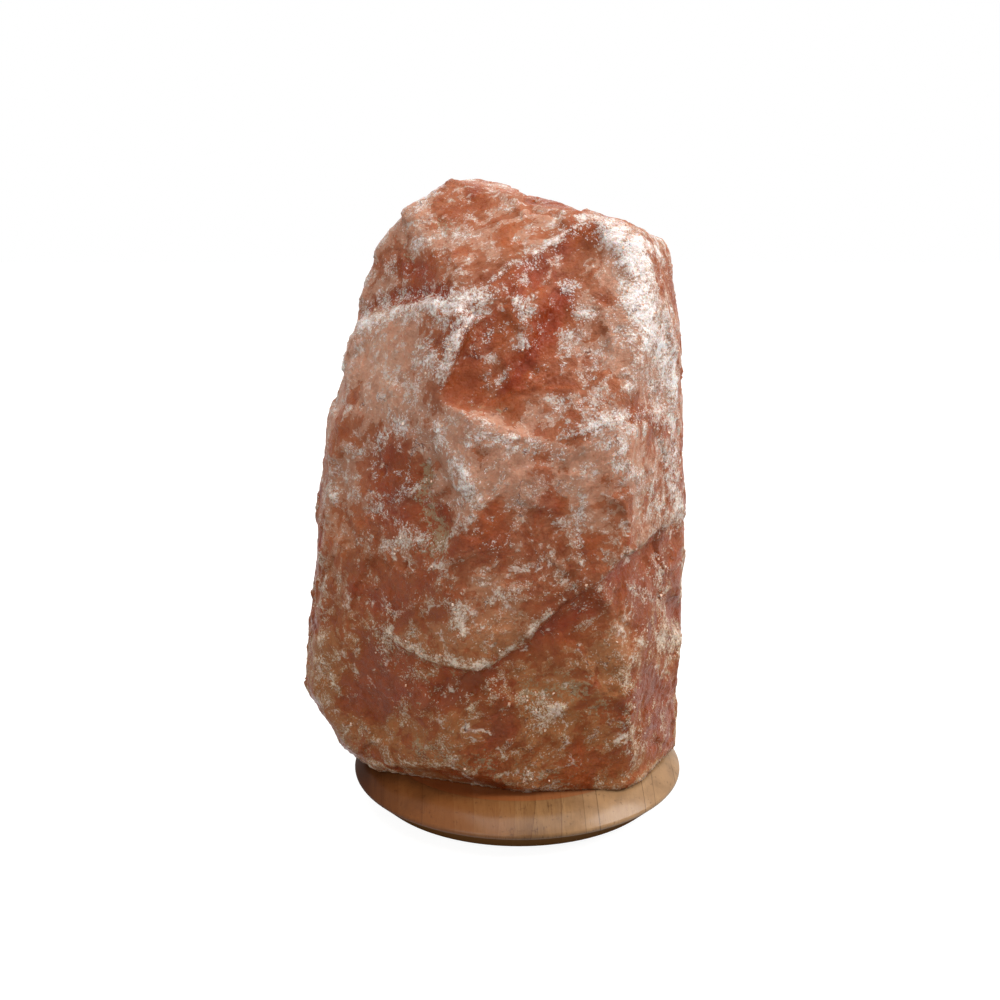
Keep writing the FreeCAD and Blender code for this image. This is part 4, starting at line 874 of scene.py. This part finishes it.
metals = {      # tone, tarnish, marks to a metre, amount of tarnish; then the nodes it is on
    "zinc_plate": (((188, 188, 182), (126, 118, 104), 2400, 0.6),
                   ("screw_washers", "clip_lock_nut", "cap_lock_nut", "cord_nipple",
                    "cord_grip_screw", "terminal_screws")),
    "spring_strip": (((158, 160, 164), (98, 88, 78), 1500, 0.55), ("spring_clip",)),
    "stamped_brass": (((206, 168, 92), (132, 96, 48), 2400, 0.65),
                      ("left_terminal", "right_terminal", "centre_contact", "contact_rivet",
                       "side_contact_pin", "threaded_shell", "bulb_contact")),
    "rolled_cap": (((210, 208, 204), (150, 140, 126), 2800, 0.5), ("bulb_cap",)),
    "drawn_wire": (((120, 114, 110), (76, 64, 58), 4000, 0.6),
                   ("bulb_lead_wires", "bulb_filament")),
}
mouldings = {      # tone, dust, grains to a metre, amount of dust, roughness clean and dusty
    "foot_rubber": (((30, 29, 28), (96, 86, 76), 1600, 0.5, 0.6, 0.9),
                    ("rubber_foot_1", "rubber_foot_2", "rubber_foot_3", "rubber_foot_4")),
    "plug_nylon": (((142, 144, 146), (176, 152, 132), 1200, 0.5, 0.4, 0.65), ("wall_plugs",)),
    "holder_thermoset": (((228, 224, 214), (190, 172, 148), 1800, 0.45, 0.3, 0.55),
                         ("holder_cap", "holder_skirt")),
    "pressed_steatite": (((230, 226, 214), (196, 180, 156), 2600, 0.5, 0.5, 0.8),
                         ("holder_insert",)),
    "insulator_glass": (((12, 12, 14), (60, 54, 50), 700, 0.25, 0.08, 0.3),
                        ("bulb_insulator",)),
}
for makeFinish, table in ((metalMaterial, metals), (mouldedMaterial, mouldings)):
    for name, (look, wearers) in table.items():
        dress(makeFinish(name, *look), *wearers)
dress(glassMaterial(), "bulb_glass", "bulb_stem")
print("metal, moulded and glass parts finished")


def screwTree():      # pan head with a cross recess, below a threaded and pointed shank
    tree, given, stop = geometryGroup("cross_head_screws", {
        "Circle radius": "Float", "Count": "Int", "First angle": "Float", "Seat height": "Float",
        "Head radius": "Float", "Head height": "Float", "Shank radius": "Float",
        "Length": "Float", "Thread pitch": "Float", "Material": "Material"})

    def share(name, part):
        return times(tree, given[name], part)

    def joinXYZ(x=0.0, y=0.0, z=0.0):
        return addNode(tree, "ShaderNodeCombineXYZ", X=x, Y=y, Z=z).outputs[0]

    def moved(geometry, **how):
        return addNode(tree, "GeometryNodeTransform", Geometry=geometry, **how).outputs[0]

    def cone(low, high, depth):
        return addNode(tree, "GeometryNodeMeshCone", Vertices=28, Radius_Top=high,
                       Radius_Bottom=low, Depth=depth).outputs["Mesh"]

    headHeight = given["Head height"]
    headTop = joinXYZ(z=share("Head height", -1.0))
    rim = moved(cone(given["Head radius"], given["Head radius"], share("Head height", 0.45)),
                Translation=joinXYZ(z=share("Head height", -0.45)))
    dome = moved(cone(share("Head radius", 0.68), given["Head radius"],
                      share("Head height", 0.55)), Translation=headTop)
    slots = [addNode(tree, "GeometryNodeMeshCube", Size=joinXYZ(
        share("Head radius", wide), share("Head radius", deep), headHeight)).outputs[0]
        for wide, deep in ((1.0, 0.22), (0.22, 1.0))]
    cross = addNode(tree, "GeometryNodeMeshBoolean", {"operation": "UNION"})
    for slot in slots:
        tree.links.new(slot, cross.inputs[1])
    recess = moved(cross.outputs[0], Translation=headTop)
    pan = addNode(tree, "GeometryNodeMeshBoolean", {"operation": "DIFFERENCE"})
    tree.links.new(dome, pan.inputs[0])
    tree.links.new(recess, pan.inputs[1])
    core = share("Shank radius", 0.8)
    straight = cone(core, core, share("Length", 0.9))
    point = moved(cone(core, share("Shank radius", 0.15), share("Length", 0.1)),
                  Translation=joinXYZ(z=share("Length", 0.9)))
    turns = maths(tree, "DIVIDE", share("Length", 0.85), given["Thread pitch"])
    reach = share("Shank radius", 0.84)
    helix = addNode(tree, "GeometryNodeCurveSpiral", Resolution=20, Rotations=turns,
                    Start_Radius=reach, End_Radius=reach, Height=share("Length", 0.85)).outputs[0]
    ridge = addNode(tree, "GeometryNodeCurvePrimitiveCircle", Resolution=3,
                    Radius=share("Shank radius", 0.14)).outputs[0]
    thread = addNode(tree, "GeometryNodeCurveToMesh", Curve=helix, Profile_Curve=ridge,
                     Fill_Caps=True).outputs[0]
    screw = tree.nodes.new("GeometryNodeJoinGeometry")
    for part in (rim, pan.outputs[0], straight, point, thread):
        tree.links.new(part, screw.inputs[0])
    circle = addNode(tree, "GeometryNodeMeshCircle", Vertices=given["Count"],
                     Radius=given["Circle radius"]).outputs[0]
    places = moved(circle, Rotation=joinXYZ(z=given["First angle"]),
                   Translation=joinXYZ(z=given["Seat height"]))
    placed = addNode(tree, "GeometryNodeInstanceOnPoints", Points=places,
                     Instance=screw.outputs[0])
    finishTree(tree, given, stop, placed.outputs[0])
    return tree


screws = {      # sizes in metres, angles in degrees
    "base_screws": {"Circle radius": 0.036, "Count": 3, "First angle": -90.0,
                    "Head radius": 0.0042, "Head height": 0.0026, "Shank radius": 0.0022,
                    "Thread pitch": 0.0018},
    "foot_screws": {"Count": 4, "First angle": 45.0, "Head radius": 0.003,
                    "Head height": 0.0012, "Shank radius": 0.0012, "Thread pitch": 0.001},
}
screwNodes = screwTree()
for name, sizes in screws.items():
    low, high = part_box(name)
    sizes["Seat height"] = low.z + sizes["Head height"]
    sizes["Length"] = high.z - sizes["Seat height"]
    sizes.setdefault("Circle radius", math.hypot(high.x - sizes["Head radius"],
                                                 high.y - sizes["Head radius"]))
    sizes["First angle"] = math.radians(sizes["First angle"])
    sizes["Material"] = bpy.data.materials["zinc_plate"]
    piece = grow("cross_head_" + name, bpy.data.meshes.new(name), screwNodes, sizes)
    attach(piece, "root")
    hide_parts(name)
    print(name, "made:", len(piece.data.polygons), "faces")


studio = {
    "floorSize": 3.0,
    "floorTone": colour(126, 124, 121), "floorFleck": colour(132, 130, 127),
    "floorGlow": 0.91,      # seen by the camera and in gloss and glass
    "lights": (      # place, size and power of each softbox
        ("overhead_box", (0.05, -0.3, 1.3), 1.0, 10.5),
        ("window_box", (0.88, -0.1, 0.78), 0.6, 12.0),
        ("fill_box", (-0.45, -1.1, 0.55), 0.9, 6.5),
        ("back_box", (-0.4, 1.15, 0.8), 0.9, 9.0),
    ),
    "aim": (0, 0, 0.12),      # what the softboxes face
    "worldLevel": 0.3,
}


def floorMaterial():
    material, tree, shader, where = newMaterial("pale_floor")
    tint = blend(tree, pattern(tree, where, 40, 3), studio["floorTone"], studio["floorFleck"])
    fill(tree, shader, Base_Color=tint, Roughness=0.9)
    glow = addNode(tree, "ShaderNodeEmission", Color=(1, 1, 1, 1),
                   Strength=times(tree, looked(tree), studio["floorGlow"]))
    both = addNode(tree, "ShaderNodeAddShader", Shader=shader.outputs[0],
                   Shader_001=glow.outputs[0])
    clear = tree.nodes.new("ShaderNodeBsdfTransparent")      # seen from below, it isn't there
    under = tree.nodes.new("ShaderNodeNewGeometry").outputs["Backfacing"]
    sided = addNode(tree, "ShaderNodeMixShader", Fac=under, Shader=both.outputs[0],
                    Shader_001=clear.outputs[0])
    output = next(node for node in tree.nodes if node.type == "OUTPUT_MATERIAL")
    fill(tree, output, Surface=sided.outputs[0])
    return material


def setStage():
    mesh = bpy.data.meshes.new("studio_floor")
    half = studio["floorSize"]
    mesh.from_pydata([(-half, -half, 0), (half, -half, 0), (half, half, 0), (-half, half, 0)], [],
                     [(0, 1, 2, 3)])
    mesh.materials.append(floorMaterial())
    floor = addObject("studio_floor", mesh)
    world = bpy.data.worlds.new("studio_air")
    world.use_nodes = True
    tree = world.node_tree
    tree.nodes.clear()
    level = edge(tree, looked(tree), 0, 1, studio["worldLevel"], 1.0)
    air = addNode(tree, "ShaderNodeBackground", Color=(1, 1, 1, 1), Strength=level)
    output = tree.nodes.new("ShaderNodeOutputWorld")
    tree.links.new(air.outputs[0], output.inputs["Surface"])
    bpy.context.scene.world = world


def softBox(name, place, size, power):
    light = bpy.data.lights.new(name, "AREA")
    light.shape = "SQUARE"
    light.size = size
    light.energy = power
    box = addObject(name, light)
    box.location = place
    sight = Vector(studio["aim"]) - Vector(place)
    box.rotation_euler = sight.to_track_quat("-Z", "Y").to_euler()


def setCamera():
    lens = bpy.data.cameras.new("photo_camera")
    lens.sensor_width = photo["sensor"]
    lens.lens = photo["sensor"] * photo["focalPixels"] / photo["framePixels"]
    camera = addObject("photo_camera", lens)
    camera.location = photo["place"]
    camera.rotation_euler = (math.radians(90 - photo["tiltDown"]), 0, 0)
    bpy.context.scene.camera = camera


setStage()
for name, place, size, power in studio["lights"]:
    softBox(name, place, size, power)
setCamera()
bpy.context.scene.view_settings.view_transform = "Standard"
print("stage, light and camera set")
